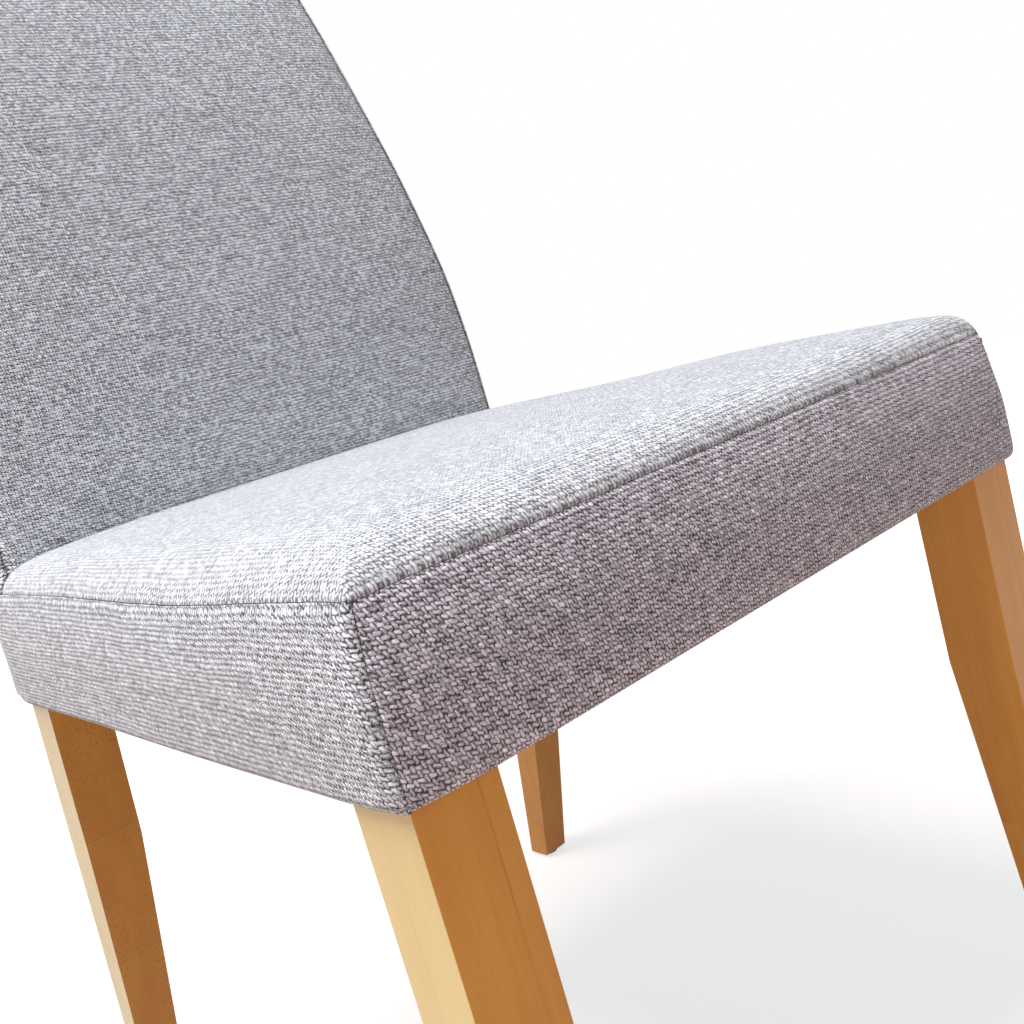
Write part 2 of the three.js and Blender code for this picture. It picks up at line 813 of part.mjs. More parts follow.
// The panels of the cloth, each drawn back from its seams by half the gap.
function clothPanels() {
  const shell = clothShell();
  const cut = seamCutters();
  const notRear = shell.subtract(cut.rearPart(gap));
  const above = notRear.intersect(cut.above.translate(0, 0, gap / 2));
  const below = notRear.subtract(cut.above.translate(0, 0, -gap / 2));
  const behind = above.subtract(cut.ahead);
  const gussets = behind.subtract(cut.faceBand(gap));
  const sideGussets = gussets.subtract(cut.topPart(gap));
  const sideBoxings = below.subtract(cut.frontPart(gap));
  return {
    seat_top_panel: above.intersect(cut.ahead.translate(0, -gap, 0)),
    seat_front_boxing: below.intersect(cut.frontPart(0)),
    seat_left_boxing: sideBoxings.intersect(cut.leftHalf),
    seat_right_boxing: sideBoxings.subtract(cut.leftHalf),
    back_front_panel: behind.intersect(cut.faceBand(0)),
    back_left_gusset: sideGussets.intersect(cut.leftHalf),
    back_right_gusset: sideGussets.subtract(cut.leftHalf),
    back_top_gusset: gussets.intersect(cut.topPart(0)),
    back_rear_panel: shell.intersect(cut.rearPart(0)),
  };
}

// Foam fills the cloth: a crowned slab on the seat board and a pad in front of the posts.

function seatFoam() {
  const room = block(at(-seatWidth, -overrun, foamBottom), at(seatWidth, seatDepth - gap, backTop));
  return insideSeat.intersect(room);
}

function backFoam() {
  const padFront = (z) => backFace(z) - overrun;
  const padRear = (z) => postFront(z) - boardOnPost - gap;
  const clear = postTop + gap;
  const pad = sideCut(bandAlong(padFront, padRear, seamHeight, clear), -halfSeat, halfSeat);
  const cap = block(at(-halfSeat, 0, clear), at(halfSeat, backRear(backTop) + overrun, backTop));
  return insideBack.intersect(pad.add(cap));
}

// Assembly

const legTimber = new THREE.MeshStandardMaterial({ color: 0xd8ae6c, roughness: 0.38, metalness: 0 });
const frameTimber = new THREE.MeshStandardMaterial({ color: 0xd9c49c, roughness: 0.7, metalness: 0 });
const board = new THREE.MeshStandardMaterial({ color: 0xc9a877, roughness: 0.75, metalness: 0 });
const cloth = new THREE.MeshStandardMaterial({ color: 0xb4b5bd, roughness: 0.95, metalness: 0 });
const foam = new THREE.MeshStandardMaterial({ color: 0xf1ead2, roughness: 0.9, metalness: 0 });
const lining = new THREE.MeshStandardMaterial({ color: 0x26262a, roughness: 0.95, metalness: 0 });
const steel = new THREE.MeshStandardMaterial({ color: 0xb8babd, roughness: 0.35, metalness: 1 });
const plastic = new THREE.MeshStandardMaterial({ color: 0x4a4036, roughness: 0.5, metalness: 0 });

function addPiece(group, name, solid, material) {
  const mesh = new THREE.Mesh(geometryOf(solid), material);
  mesh.name = name;
  group.add(mesh);
}

const cornerList = corners();
const legBolts = cornerList.map((corner) => ({ name: corner.name, ...legBolt(corner) }));
const glides = footCentres().map((foot) => ({ ...foot, ...glide(foot.x, foot.y) }));
const backBolts = Object.entries(sides).flatMap(([name, side]) => [
  { name: "back_" + name + "_lower", ...backBolt(side, -1) },
  { name: "back_" + name + "_upper", ...backBolt(side, 1) },
]);
const mortises = [
  frontTenons(gap),
  rearTenons(gap),
  sideTenons(sides.left, gap),
  sideTenons(sides.right, gap),
];
const backMortises = Object.keys(backRailSpans).map((name) => backTenons(name, gap));
const holes = join([...legBolts, ...backBolts, ...glides].map((set) => set.hole));
const legHoles = holes.add(join(mortises));
const postHoles = holes.add(join(backMortises));

const seatFrame = new THREE.Group();
for (const [name, side] of Object.entries(sides)) {
  addPiece(seatFrame, "front_" + name + "_leg", frontLeg(side).subtract(legHoles), legTimber);
  addPiece(seatFrame, "rear_" + name + "_leg", rearLeg(side).subtract(legHoles), legTimber);
  addPiece(seatFrame, name + "_rail", sideRail(side), frameTimber);
}
addPiece(seatFrame, "front_rail", frontRail(), frameTimber);
addPiece(seatFrame, "rear_rail", rearRail(), frameTimber);
addPiece(seatFrame, "seat_board", seatBoard(), board);
for (const corner of cornerList) {
  addPiece(seatFrame, corner.name + "_corner_block", cornerBlock(corner).subtract(holes), frameTimber);
}
for (const { name, solid } of glides) {
  addPiece(seatFrame, name + "_glide", solid, plastic);
}
for (const { name, bolt, washer, nut } of legBolts) {
  addPiece(seatFrame, name + "_leg_bolt", bolt, steel);
  addPiece(seatFrame, name + "_leg_washer", washer, steel);
  addPiece(seatFrame, name + "_leg_nut", nut, steel);
}

const backFrame = new THREE.Group();
for (const [name, side] of Object.entries(sides)) {
  addPiece(backFrame, "back_" + name + "_post", post(side).subtract(postHoles), frameTimber);
}
for (const name of Object.keys(backRailSpans)) {
  addPiece(backFrame, name, backRail(name), frameTimber);
}
addPiece(backFrame, "back_board", backBoard(), board);
for (const { name, bolt, washer, insert } of backBolts) {
  addPiece(backFrame, name + "_bolt", bolt, steel);
  addPiece(backFrame, name + "_washer", washer, steel);
  addPiece(backFrame, name + "_insert", insert, steel);
}

const upholstery = new THREE.Group();
addPiece(upholstery, "seat_foam", seatFoam(), foam);
addPiece(upholstery, "back_foam", backFoam(), foam);
for (const [name, solid] of Object.entries(clothPanels())) {
  addPiece(upholstery, name, solid, cloth);
}
addPiece(upholstery, "dust_cover", dustCover(), lining);

const chair = new THREE.Group();
chair.name = "parsons_chair";
chair.add(seatFrame, backFrame, upholstery);
const middle = new THREE.Box3().setFromObject(chair).getCenter(at(0, 0, 0));
chair.position.set(0, -middle.y, 0);

export default chair;
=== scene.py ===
# %% [markdown]
# # A parsons chair, dressed for its portrait
# The chair is a plain upholstered one: a boxed seat and a raked back in light grey woven cloth, on four
# lacquered timber legs. The solids come from the CAD model as a fixed frame. This notebook keeps the
# timber and the hardware, gives them their finishes, and makes the cloth, the foam and the lining anew,
# because soft things need forms that a CAD solid doesn't have.

# %% Load the frame
import math

import bmesh
import bpy
from mathutils import Matrix, Vector, noise


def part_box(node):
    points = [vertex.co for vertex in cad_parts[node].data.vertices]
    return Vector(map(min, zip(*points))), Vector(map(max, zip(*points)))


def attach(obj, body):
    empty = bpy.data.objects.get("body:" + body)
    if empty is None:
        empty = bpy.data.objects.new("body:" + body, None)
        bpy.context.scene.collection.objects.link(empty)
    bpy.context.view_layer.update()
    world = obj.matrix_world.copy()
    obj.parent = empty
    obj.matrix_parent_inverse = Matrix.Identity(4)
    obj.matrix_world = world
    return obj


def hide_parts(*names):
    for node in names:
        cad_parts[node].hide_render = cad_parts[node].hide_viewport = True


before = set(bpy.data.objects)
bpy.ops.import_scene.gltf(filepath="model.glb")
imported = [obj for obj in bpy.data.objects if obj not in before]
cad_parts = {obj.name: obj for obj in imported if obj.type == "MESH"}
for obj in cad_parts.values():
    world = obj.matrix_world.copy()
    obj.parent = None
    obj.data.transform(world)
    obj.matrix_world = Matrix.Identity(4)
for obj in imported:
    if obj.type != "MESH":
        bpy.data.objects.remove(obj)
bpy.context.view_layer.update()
scene = bpy.context.scene
mm = 0.001

# %% [markdown]
# ## The camera
# The picture was taken from close by, above the seat and to its left, with the camera rolled so that the
# chair leans. A camera can be placed by eye, but here its place, direction and roll were worked out from
# the corners of the seat box, so that every edge falls where it does in the picture. It looks along +Y
# first, and is then turned to the side, tipped down and rolled, in that order.

# %% Camera
camera_place = (-0.39186, -0.61525, 0.51006)
camera_turn = math.radians(-38.183)
camera_tip = math.radians(90 - 8.505)
camera_roll = math.radians(-15.771)
lens_length = 37.65

camera = bpy.data.objects.new("camera", bpy.data.cameras.new("camera"))
camera.data.lens = lens_length
camera.data.sensor_width = 36
camera.data.clip_start = 10 * mm
camera.matrix_world = (
    Matrix.Translation(camera_place)
    @ Matrix.Rotation(camera_turn, 4, "Z")
    @ Matrix.Rotation(camera_tip, 4, "X")
    @ Matrix.Rotation(camera_roll, 4, "Z")
)
scene.collection.objects.link(camera)
scene.camera = camera
scene.view_settings.view_transform = "Standard"
print("camera", lens_length, "mm at", camera_place)

# %% [markdown]
# ## Shader expressions
# A procedural finish is arithmetic on coordinates. Wiring every Math node by hand hides that arithmetic,
# so a small class stands for a socket and gives it the usual operators. Every other node comes from one
# method: it takes the kind of node, then its settings, then what goes into its sockets.

# %% A socket that can be calculated with
class Term:
    def __init__(self, finish, socket):
        self.finish = finish
        self.socket = socket

    def __add__(self, other):
        return self.finish.math("ADD", self, other)

    def __sub__(self, other):
        return self.finish.math("SUBTRACT", self, other)

    def __rsub__(self, other):
        return self.finish.math("SUBTRACT", other, self)

    def __mul__(self, other):
        return self.finish.math("MULTIPLY", self, other)

    def __truediv__(self, other):
        return self.finish.math("DIVIDE", self, other)

    def __pow__(self, other):
        return self.finish.math("POWER", self, other)

    __radd__ = __add__
    __rmul__ = __mul__


class Finish:
    """A material, or the world, with the nodes that make it."""

    def __init__(self, name, world=None):
        self.material = world or bpy.data.materials.new(name)
        self.material.use_nodes = True
        self.tree = self.material.node_tree
        self.tree.nodes.clear()

    def node(self, kind, settings=None, sockets=None, output=0):
        made = self.tree.nodes.new(kind)
        for name, value in (settings or {}).items():
            setattr(made, name, value)
        for key, value in (sockets or {}).items():
            if isinstance(value, Term):
                self.tree.links.new(value.socket, made.inputs[key])
            else:
                made.inputs[key].default_value = value
        return Term(self, made.outputs[output]) if made.outputs else None

    def math(self, operation, *values):
        return self.node("ShaderNodeMath", {"operation": operation}, dict(enumerate(values)))

    def blend(self, share, first, second):
        """Goes from the first colour to the second as share goes from 0 to 1."""
        first, second = [c if isinstance(c, Term) else (*c, 1) for c in (first, second)]
        return self.node("ShaderNodeMix", {"data_type": "RGBA"}, {0: share, 6: first, 7: second}, 2)

    def shade(self, colour, share):
        """A colour made darker or lighter by a share that changes over the surface."""
        grey = self.node("ShaderNodeCombineColor", {}, {0: share, 1: share, 2: share})
        mixing = {"data_type": "RGBA", "blend_type": "MULTIPLY"}
        first = colour if isinstance(colour, Term) else (*colour, 1)
        return self.node("ShaderNodeMix", mixing, {0: 1, 6: first, 7: grey}, 2)

    def ease(self, value, low, high, start=0, end=1):
        """Rises smoothly from start to end while the value goes from low to high."""
        span = {"From Min": low, "From Max": high, "To Min": start, "To Max": end}
        settings = {"interpolation_type": "SMOOTHSTEP"}
        return self.node("ShaderNodeMapRange", settings, {"Value": value, **span})

    def point(self, x, y, z):
        return self.node("ShaderNodeCombineXYZ", {}, {0: x, 1: y, 2: z})

    def speckle(self, place, scale, detail=2, roughness=0.5):
        """Soft noise round 0.5."""
        amounts = {"Vector": place, "Scale": scale, "Detail": detail, "Roughness": roughness}
        return self.node("ShaderNodeTexNoise", {}, amounts)

    def lot(self, place):
        """One random number from 0 to 1 for each place."""
        return self.node("ShaderNodeTexWhiteNoise", {"noise_dimensions": "3D"}, {"Vector": place})

    def bump(self, strength, distance, height):
        """A relief, with its full height in metres, as a normal."""
        sockets = {"Strength": strength, "Distance": distance, "Height": height}
        return self.node("ShaderNodeBump", {}, sockets)

    def surface(self, **sockets):
        """Ends the material in one Principled shader. Names have _ where the sockets have a space."""
        named = {name.replace("_", " "): value for name, value in sockets.items()}
        shader = self.node("ShaderNodeBsdfPrincipled", {}, named)
        self.node("ShaderNodeOutputMaterial", {}, {"Surface": shader})
        return self.material

    def object_place(self):
        """The x, y and z of the point in the piece's own space, in metres."""
        place = self.node("ShaderNodeTexCoord", {}, {}, "Object")
        return [self.node("ShaderNodeSeparateXYZ", {}, {0: place}, axis) for axis in "XYZ"]


print("shader helpers ready")

# %% [markdown]
# ## Floor, light and background
# The picture is a studio one: one soft key light from the upper left, a white room that fills the shadows,
# and a white background. The world gives the fill, a little warm from the sides and cool from above. To
# the camera and in reflections it is plain white, which is how a white room looks, while it lights the
# chair at a lower level. The floor is pale, keeps the soft shadow, and glows into the background's white
# away from the chair.

# %% Floor
def linked(name, mesh):
    made = bpy.data.objects.new(name, mesh)
    scene.collection.objects.link(made)
    return made


def object_from(name, body):
    """Ends a bmesh as a new object."""
    mesh = bpy.data.meshes.new(name)
    body.to_mesh(mesh)
    body.free()
    return linked(name, mesh)


def seen_directly(finish):
    """1 for what the camera sees, also in a mirror or through glass, and 0 for what lights the scene."""
    kinds = ["Is Camera Ray", "Is Glossy Ray", "Is Transmission Ray"]
    camera_ray, glossy, through = [finish.node("ShaderNodeLightPath", {}, {}, kind) for kind in kinds]
    return finish.math("MAXIMUM", finish.math("MAXIMUM", camera_ray, glossy), through)


floor_reach = 4
floor_grid = bmesh.new()
bmesh.ops.create_grid(floor_grid, x_segments=8, y_segments=8, size=floor_reach)
floor = object_from("floor", floor_grid)

paper = Finish("pale floor paper")
floor_x, floor_y, _ = paper.object_place()
from_chair = (floor_x ** 2 + floor_y ** 2) ** 0.5
glow_from, glow_to = 0.4, 1.6
floor_glow = paper.ease(from_chair, glow_from, glow_to, 0.70, 1.0)
floor.data.materials.append(paper.surface(
    Base_Color=(0.66, 0.54, 0.49, 1),
    Roughness=0.95,
    Specular_IOR_Level=0,
    Emission_Color=paper.blend(seen_directly(paper) * floor_glow, (0, 0, 0), (0.93, 0.98, 1)),
    Emission_Strength=1,
))
print("floor", 2 * floor_reach, "m square")

# %% World
room_fill = 0.33
warm_sides, cool_above = (1.0, 0.87, 0.86), (0.86, 0.95, 1.0)
scene.world = bpy.data.worlds.new("white room")
room = Finish("white room", scene.world)
facing = room.node("ShaderNodeTexCoord", {}, {}, "Generated")
upward = room.node("ShaderNodeSeparateXYZ", {}, {0: facing}, "Z")
tint = room.blend(room.ease(upward, 0.0, 0.8), warm_sides, cool_above)
fill = room.node("ShaderNodeBackground", {}, {"Color": tint, "Strength": room_fill})
backdrop = room.node("ShaderNodeBackground", {}, {"Color": (1, 1, 1, 1), "Strength": 1})
both = room.node("ShaderNodeMixShader", {}, {0: seen_directly(room), 1: fill, 2: backdrop})
room.node("ShaderNodeOutputWorld", {}, {"Surface": both})
print("room fill", room_fill)

# %% Lamp
lamp_place, lamp_aim = Vector((-1.44, 0.15, 3.55)), Vector((0, 0, 0.4))
lamp = bpy.data.lights.new("key from the upper left", "AREA")
lamp.size = 2.1
lamp.energy = 136
lamp.color = (0.965, 0.985, 1)
towards = (lamp_aim - lamp_place).to_track_quat("-Z", "Y").to_matrix().to_4x4()
linked(lamp.name, lamp).matrix_world = Matrix.Translation(lamp_place) @ towards
print("lamp", lamp.name, lamp.energy, "W")

# %% [markdown]
# ## Lacquered timber of the legs
# The legs are rubberwood, a pale hardwood, under an even clear lacquer. Its face shows fine straight grain
# along the leg, many short dark pores, and faint cross lines where short lengths are finger-jointed and
# glued into one blank. A wood texture could be drawn with rings, but these blanks are sawn so that only
# streaks show. So the streaks are noise that is stretched along the leg, and each leg gets its own pieces
# of timber. The faces that look sideways away from the chair are painted paler: a painted highlight for
# the key light's sheen on their lacquer.

# %% Timber finish
def lacquered_timber(name, seed, joints=(), glue_lines=(), porous=0.3):
    wood = Finish(name)
    x, y, z = wood.object_place()
    length_no = 0
    for height in joints:
        length_no = length_no + wood.math("GREATER_THAN", z, height)
    strip_no = 0
    for place in glue_lines:
        strip_no = strip_no + wood.math("GREATER_THAN", x, place)
    blank = length_no * 3.7 + strip_no * 5.3 + seed

    drift = wood.speckle(wood.point(x * 6 + blank, y * 6, z * 2.5), 1, 1) - 0.5
    streaks = wood.speckle(wood.point(x * 420 + drift * 6, y * 420 + blank, z * 9), 1, 3, 0.6)
    bands = wood.speckle(wood.point(x * 60 + drift * 3, y * 60 + blank, z * 3), 1, 2)
    blotches = wood.speckle(wood.point(x * 22, y * 22 + blank, z * 14), 1, 2)
    pore_noise = wood.speckle(wood.point(x * 1200, y * 1200 + blank, z * 260), 1, 1)
    pores = wood.ease(pore_noise, 0.62, 0.72) * wood.ease(blotches, 0.36, 0.58) * porous

    tone = wood.ease(bands * 0.40 + streaks * 0.25 + blotches * 0.35, 0.36, 0.64)
    heartwood = wood.blend(tone, (0.86, 0.335, 0.038), (0.95, 0.420, 0.055))
    lit_face_sheen_colour = wood.blend(tone, (0.88, 0.62, 0.24), (0.96, 0.71, 0.30))
    # Painted highlight: faces that look sideways away from the chair blend to a paler colour, which stands
    # in for the key light's sheen on the lacquer.
    facing = wood.node("ShaderNodeTexCoord", {}, {}, "Normal")
    outward = wood.node("ShaderNodeSeparateXYZ", {}, {0: facing}, "X") * wood.math("SIGN", x)
    colour = wood.blend(wood.ease(outward, 0.35, 0.9), heartwood, lit_face_sheen_colour)
    if joints or glue_lines:
        colour = wood.shade(colour, wood.lot(wood.point(length_no, strip_no, seed)) * 0.12 + 0.92)
    colour = wood.shade(colour, 1.02 - 0.36 * porous)
    colour = wood.blend(pores, colour, (0.26, 0.080, 0.015))
    lines = [(z - height, 0.7 * mm, 0.30) for height in joints]
    lines += [(x - place, 0.6 * mm, 0.35) for place in glue_lines]
    cracks = 0
    for away, reach, depth in lines:
        cracks = cracks + wood.ease(wood.math("ABSOLUTE", away), 0.1 * mm, reach, depth, 0)
    if lines:
        broken = wood.ease(wood.speckle(wood.point(x * 150, y * 150, z * 40), 1, 2), 0.35, 0.6, 0.3, 1)
        colour = wood.blend(cracks * broken, colour, (0.24, 0.085, 0.02))
    bump = wood.bump(0.3, 0.1 * mm, streaks * 0.3 - pores * 0.8)
    return wood.surface(
        Base_Color=colour,
        Roughness=wood.ease(streaks, 0.3, 0.7, 0.30, 0.40),
        Specular_IOR_Level=0.28,
        Coat_Weight=0.12,
        Coat_Roughness=0.22,
        Normal=bump,
    )


def finished(node, material):
    """Puts a material on a CAD node's object."""
    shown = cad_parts[node]
    shown.data.materials.clear()
    shown.data.materials.append(material)
    return shown


# Heights of the cross joints, places of the upright glue lines, and how porous the timber is
leg_joints = {
    "front_left_leg": ([], [-0.195], 0.1),
    "front_right_leg": ([0.14], [0.212], 0.2),
    "rear_left_leg": ([0.1595, 0.262], [], 0.8),
    "rear_right_leg": ([0.214], [], 0.4),
}
for number, (leg, blanks) in enumerate(leg_joints.items()):
    piece = finished(leg, lacquered_timber(leg + " timber", 11.3 * number + 2.1, *blanks))
    welded = piece.modifiers.new("weld", "WELD")
    welded.merge_threshold = 0.01 * mm
    eased = piece.modifiers.new("eased edges", "BEVEL")
    eased.width = 0.9 * mm
    eased.segments = 3
    eased.limit_method = "ANGLE"
    eased.angle_limit = math.radians(30)
    eased.harden_normals = True
print("legs finished:", list(leg_joints))

# %% [markdown]
# ## Woven cloth
# The cloth is a chunky plain weave in a light grey melange: each yarn passes over one and under one, so
# its surface is a chequerboard of small beads with a hole where four of them meet. A picture of cloth
# could be tiled over the chair, but a weave worked out from the cloth's own lengths stays sharp and keeps
# its scale. The map of each panel is in metres, with u across and v along the cloth. In each cell of the
# weave one yarn is on top, the one across or the one along, by turns. The yarns wander and swell, as spun
# yarns do. Shade and light are painted into the colour: the holes, the flanks of each yarn and the lines
# where one yarn dives under another get a painted shade, the crests get a painted highlight, and the
# paler plies along each yarn are partly paler fibre and partly painted highlight. The seat's top has a
# flatter relief, and its painted shade in the gaps is paler, than on the bands and the back. The panels are
# lit and shaded copies of one cloth: the front's yarn colour is a painted shade, darker and redder, and the
# top's and the back's are painted light, paler and cooler. Where the cloth turns in at a seam it is
# painted dark, a painted shade deep in the seam.

# %% Cloth finish
warp_pitch = 2.25 * mm
weft_pitch = 2.5 * mm


def woven_cloth(name, yarn_relief, shade_in_gaps, yarn_colour, mottle):
    """The cloth: its relief in metres, the painted shade in the gaps between its yarns, the colour on its
    yarns, and how mottled it is.
    """
    cloth = Finish(name)
    place = cloth.node("ShaderNodeUVMap", {"uv_map": "cloth"})
    u, v = [cloth.node("ShaderNodeSeparateXYZ", {}, {0: place}, axis) for axis in "XY"]

    def clouds(u_scale, v_scale, seed, detail=1, slant=0):
        """Soft noise round 0. The scales are in cells to the metre."""
        at = cloth.point(u * u_scale + v * slant, v * v_scale - u * slant, seed)
        return (cloth.speckle(at, 1, detail) - 0.5) * 2

    across = u / warp_pitch + clouds(45, 12, 1.5) * 0.7
    up = v / weft_pitch + clouds(12, 45, 2.5) * 0.7
    warp_no = cloth.math("FLOOR", across)
    weft_no = cloth.math("FLOOR", up)
    a = across - warp_no - 0.5
    b = up - weft_no - 0.5
    turn = cloth.math("COSINE", (warp_no + weft_no) * math.pi)

    def roundness(offset):
        return cloth.math("SQRT", cloth.math("MAXIMUM", 1 - offset ** 2, 0.0))

    warp_half = cloth.math("MAXIMUM", clouds(440, 320, 4.5) * 0.36 + 0.36, 0.1)
    weft_half = cloth.math("MAXIMUM", clouds(340, 400, 5.5) * 0.40 + 0.37, 0.1)
    fuzz = clouds(600, 560, 6.5) * 0.22
    bead = cloth.lot(cloth.point(warp_no, weft_no, 0.5))
    shove = (cloth.lot(cloth.point(warp_no, weft_no, 5.5)) - 0.5) * 0.22
    warp_lean = turn * cloth.math("SINE", b * math.pi) * 0.16
    weft_lean = turn * cloth.math("SINE", a * math.pi) * 0.12
    warp_swing = turn * cloth.math("COSINE", b * math.pi) * 0.45
    weft_swing = turn * cloth.math("COSINE", a * math.pi) * 0.32
    warp_off = (a + warp_lean) / warp_half
    weft_off = (b - weft_lean + shove) / weft_half
    warp_height = roundness(warp_off) * 0.50 + warp_swing + fuzz
    weft_height = roundness(weft_off) * 0.62 - weft_swing - fuzz
    height = cloth.math("MAXIMUM", warp_height, weft_height)
    warp_on_top = cloth.math("GREATER_THAN", warp_height, weft_height)

    warp_fibre = clouds(3000, 850, 7.5, 2, 200)
    weft_fibre = clouds(560, 2900, 8.5, 2, 260)
    fibre = weft_fibre + (warp_fibre - weft_fibre) * warp_on_top
    warp_lot = cloth.lot(cloth.point(warp_no, 0.0, 3.5))
    weft_lot = cloth.lot(cloth.point(0.0, weft_no, 9.5))
    yarn_lot = weft_lot + (warp_lot - weft_lot) * warp_on_top
    # melange is the yarns' own mottle and tone together with painted highlights: on the highest crests, and
    # partly on the paler plies.
    melange = (
        1.01
        + 0.30 * mottle * (bead - 0.5)
        + 0.20 * cloth.ease(bead, 0.7, 1.0)
        + 0.10 * (yarn_lot - 0.5)
        + 1.15 * fibre
        + 0.30 * cloth.ease(fibre, 0.10, 0.40)
        + 0.30 * cloth.ease(height, 0.70, 1.15)
        + 0.25 * clouds(60, 260, 10.5, 2)
    ) * (1.04 - warp_on_top * 0.10)
    # Painted shade: depth darkens the colour in the holes, down the flanks of each yarn and where one yarn
    # dives under the other.
    apart = cloth.math("ABSOLUTE", warp_height - weft_height)
    ridge_shading = 1 - cloth.math("ABSOLUTE", weft_off + (warp_off - weft_off) * warp_on_top)
    contact_shade = cloth.ease(apart, 0.0, 0.26, 0.15, 1.0)
    depth = cloth.ease(height, 0.0, 0.50) * contact_shade * cloth.ease(ridge_shading, 0.05, 0.75, 0.45, 1.0)
    colour = cloth.blend(depth, shade_in_gaps, yarn_colour)
    colour = cloth.shade(colour, melange)
    return cloth.surface(
        Base_Color=colour,
        Roughness=0.92,
        Specular_IOR_Level=0.15,
        Sheen_Weight=0.35,
        Sheen_Roughness=0.45,
        Normal=cloth.bump(1.0, yarn_relief, height + fibre * 0.15),
    )


def painted_seam_shade(name):
    """The turned-in edge of the cloth deep in the seam, painted near black: a painted shade, mottled by
    noise.
    """
    edge = Finish(name)
    x, y, z = edge.object_place()
    shade_noise = edge.speckle(edge.point(x * 900, y * 900, z * 900), 1, 2)
    # Painted shade: a near-black colour for the shade deep in a seam's slit.
    colour = edge.blend(edge.ease(shade_noise, 0.35, 0.65), (0.030, 0.024, 0.027), (0.075, 0.062, 0.068))
    bump = edge.bump(0.5, 0.2 * mm, shade_noise)
    return edge.surface(Base_Color=colour, Roughness=0.95, Specular_IOR_Level=0.1, Normal=bump)


# Painted shade: the gap colours stand for the shade in the weave's holes. The top's is paler, painted light
# where the top is lit.
gap_shade_dark, gap_shade_pale_top = (0.070, 0.032, 0.038), (0.19, 0.175, 0.185)
# Painted light and shade: these are lit and shaded copies of one cloth. The front's yarn colour is a painted
# shade, darker and redder; the top's and the back's are painted light, paler and cooler.
seat_finish = woven_cloth("grey melange cloth, painted light of the top", 0.32 * mm, gap_shade_pale_top, (0.93, 0.93, 0.99), 0.9)
front_finish = woven_cloth("grey melange cloth, painted shade of the front", 0.62 * mm, gap_shade_dark, (0.79, 0.73, 0.80), 1.4)
band_finish = woven_cloth("grey melange cloth", 0.62 * mm, gap_shade_dark, (0.79, 0.80, 0.85), 1.3)
back_finish = woven_cloth("grey melange cloth, painted light of the back", 0.80 * mm, gap_shade_dark, (0.90, 0.93, 1.0), 1.9)
seam_shade_finish = painted_seam_shade("overlocked cloth edge")
print("weave", warp_pitch / mm, "by", weft_pitch / mm, "mm")

# %% [markdown]
# ## Soft bodies
# Seat and back are foam that a sewn cover holds in. The panels could be modelled one by one, but then
# their edges would have to be matched by hand. It is easier to make each body whole, let cloth physics
# puff it up a little between the lines where it is held, and cut it along its seams last. These are the
# helpers for that.

# %% Helpers for soft bodies
def block_between(low, high):
    """A box as a bmesh."""
    low, high = Vector(low), Vector(high)
    body = bmesh.new()
    bmesh.ops.create_cube(body, size=1)
    bmesh.ops.scale(body, vec=high - low, verts=body.verts)
    bmesh.ops.translate(body, vec=(low + high) / 2, verts=body.verts)
    return body


def round_off(body, chosen, radius, segments=5):
    """Rounds the edges whose two ends satisfy a test."""
    edges = [e for e in body.edges if all(chosen(v.co) for v in e.verts)]
    bmesh.ops.bevel(body, geom=edges, offset=radius, segments=segments, profile=0.5,
                    affect="EDGES", material=-1, clamp_overlap=True)


def baked(obj):
    """Applies every modifier of an object."""
    seen = obj.evaluated_get(bpy.context.evaluated_depsgraph_get())
    mesh = bpy.data.meshes.new_from_object(seen)
    obj.modifiers.clear()
    obj.data = mesh
    return obj


def even_body(name, body, cell):
    """The body with even square cells all over."""
    shape = object_from(name + " shape", body)
    made = linked(name, shape.data.copy())
    remesh = made.modifiers.new("even cells", "REMESH")
    remesh.mode = "VOXEL"
    remesh.voxel_size = cell
    onto = made.modifiers.new("onto the shape", "SHRINKWRAP")
    onto.target = shape
    baked(made)
    bpy.data.objects.remove(shape)
    return made


def puffed(obj, held, most, pressure=4, frames=20):
    """Cloth physics: air pressure blows the body out, except where it is held, and at most so far."""
    group = obj.vertex_groups.new(name="held")
    group.add([v.index for v in obj.data.vertices if held(v.co)], 1, "REPLACE")
    start = [v.co.copy() for v in obj.data.vertices]
    cloth = obj.modifiers.new("puffing", "CLOTH")
    cloth.settings.vertex_group_mass = "held"
    cloth.settings.use_pressure = True
    cloth.settings.uniform_pressure_force = pressure
    cloth.settings.effector_weights.gravity = 0
    cloth.point_cache.frame_start = 1
    cloth.point_cache.frame_end = frames
    for step in range(1, frames + 1):
        scene.frame_set(step)
    seen = obj.evaluated_get(bpy.context.evaluated_depsgraph_get())
    blown = [v.co.copy() for v in seen.data.vertices]
    obj.modifiers.clear()
    obj.vertex_groups.clear()
    scene.frame_set(1)
    for vertex, was, now in zip(obj.data.vertices, start, blown):
        step, limit = now - was, most(was)
        if step.length > 1e-9:
            step *= limit * math.tanh(step.length / limit) / step.length
        vertex.co = was + step
    return obj


def smoothed(obj):
    """One level of subdivision, applied, as a bmesh."""
    finer = obj.modifiers.new("finer", "SUBSURF")
    finer.levels = finer.render_levels = 1
    baked(obj)
    body = bmesh.new()
    body.from_mesh(obj.data)
    bpy.data.objects.remove(obj)
    return body


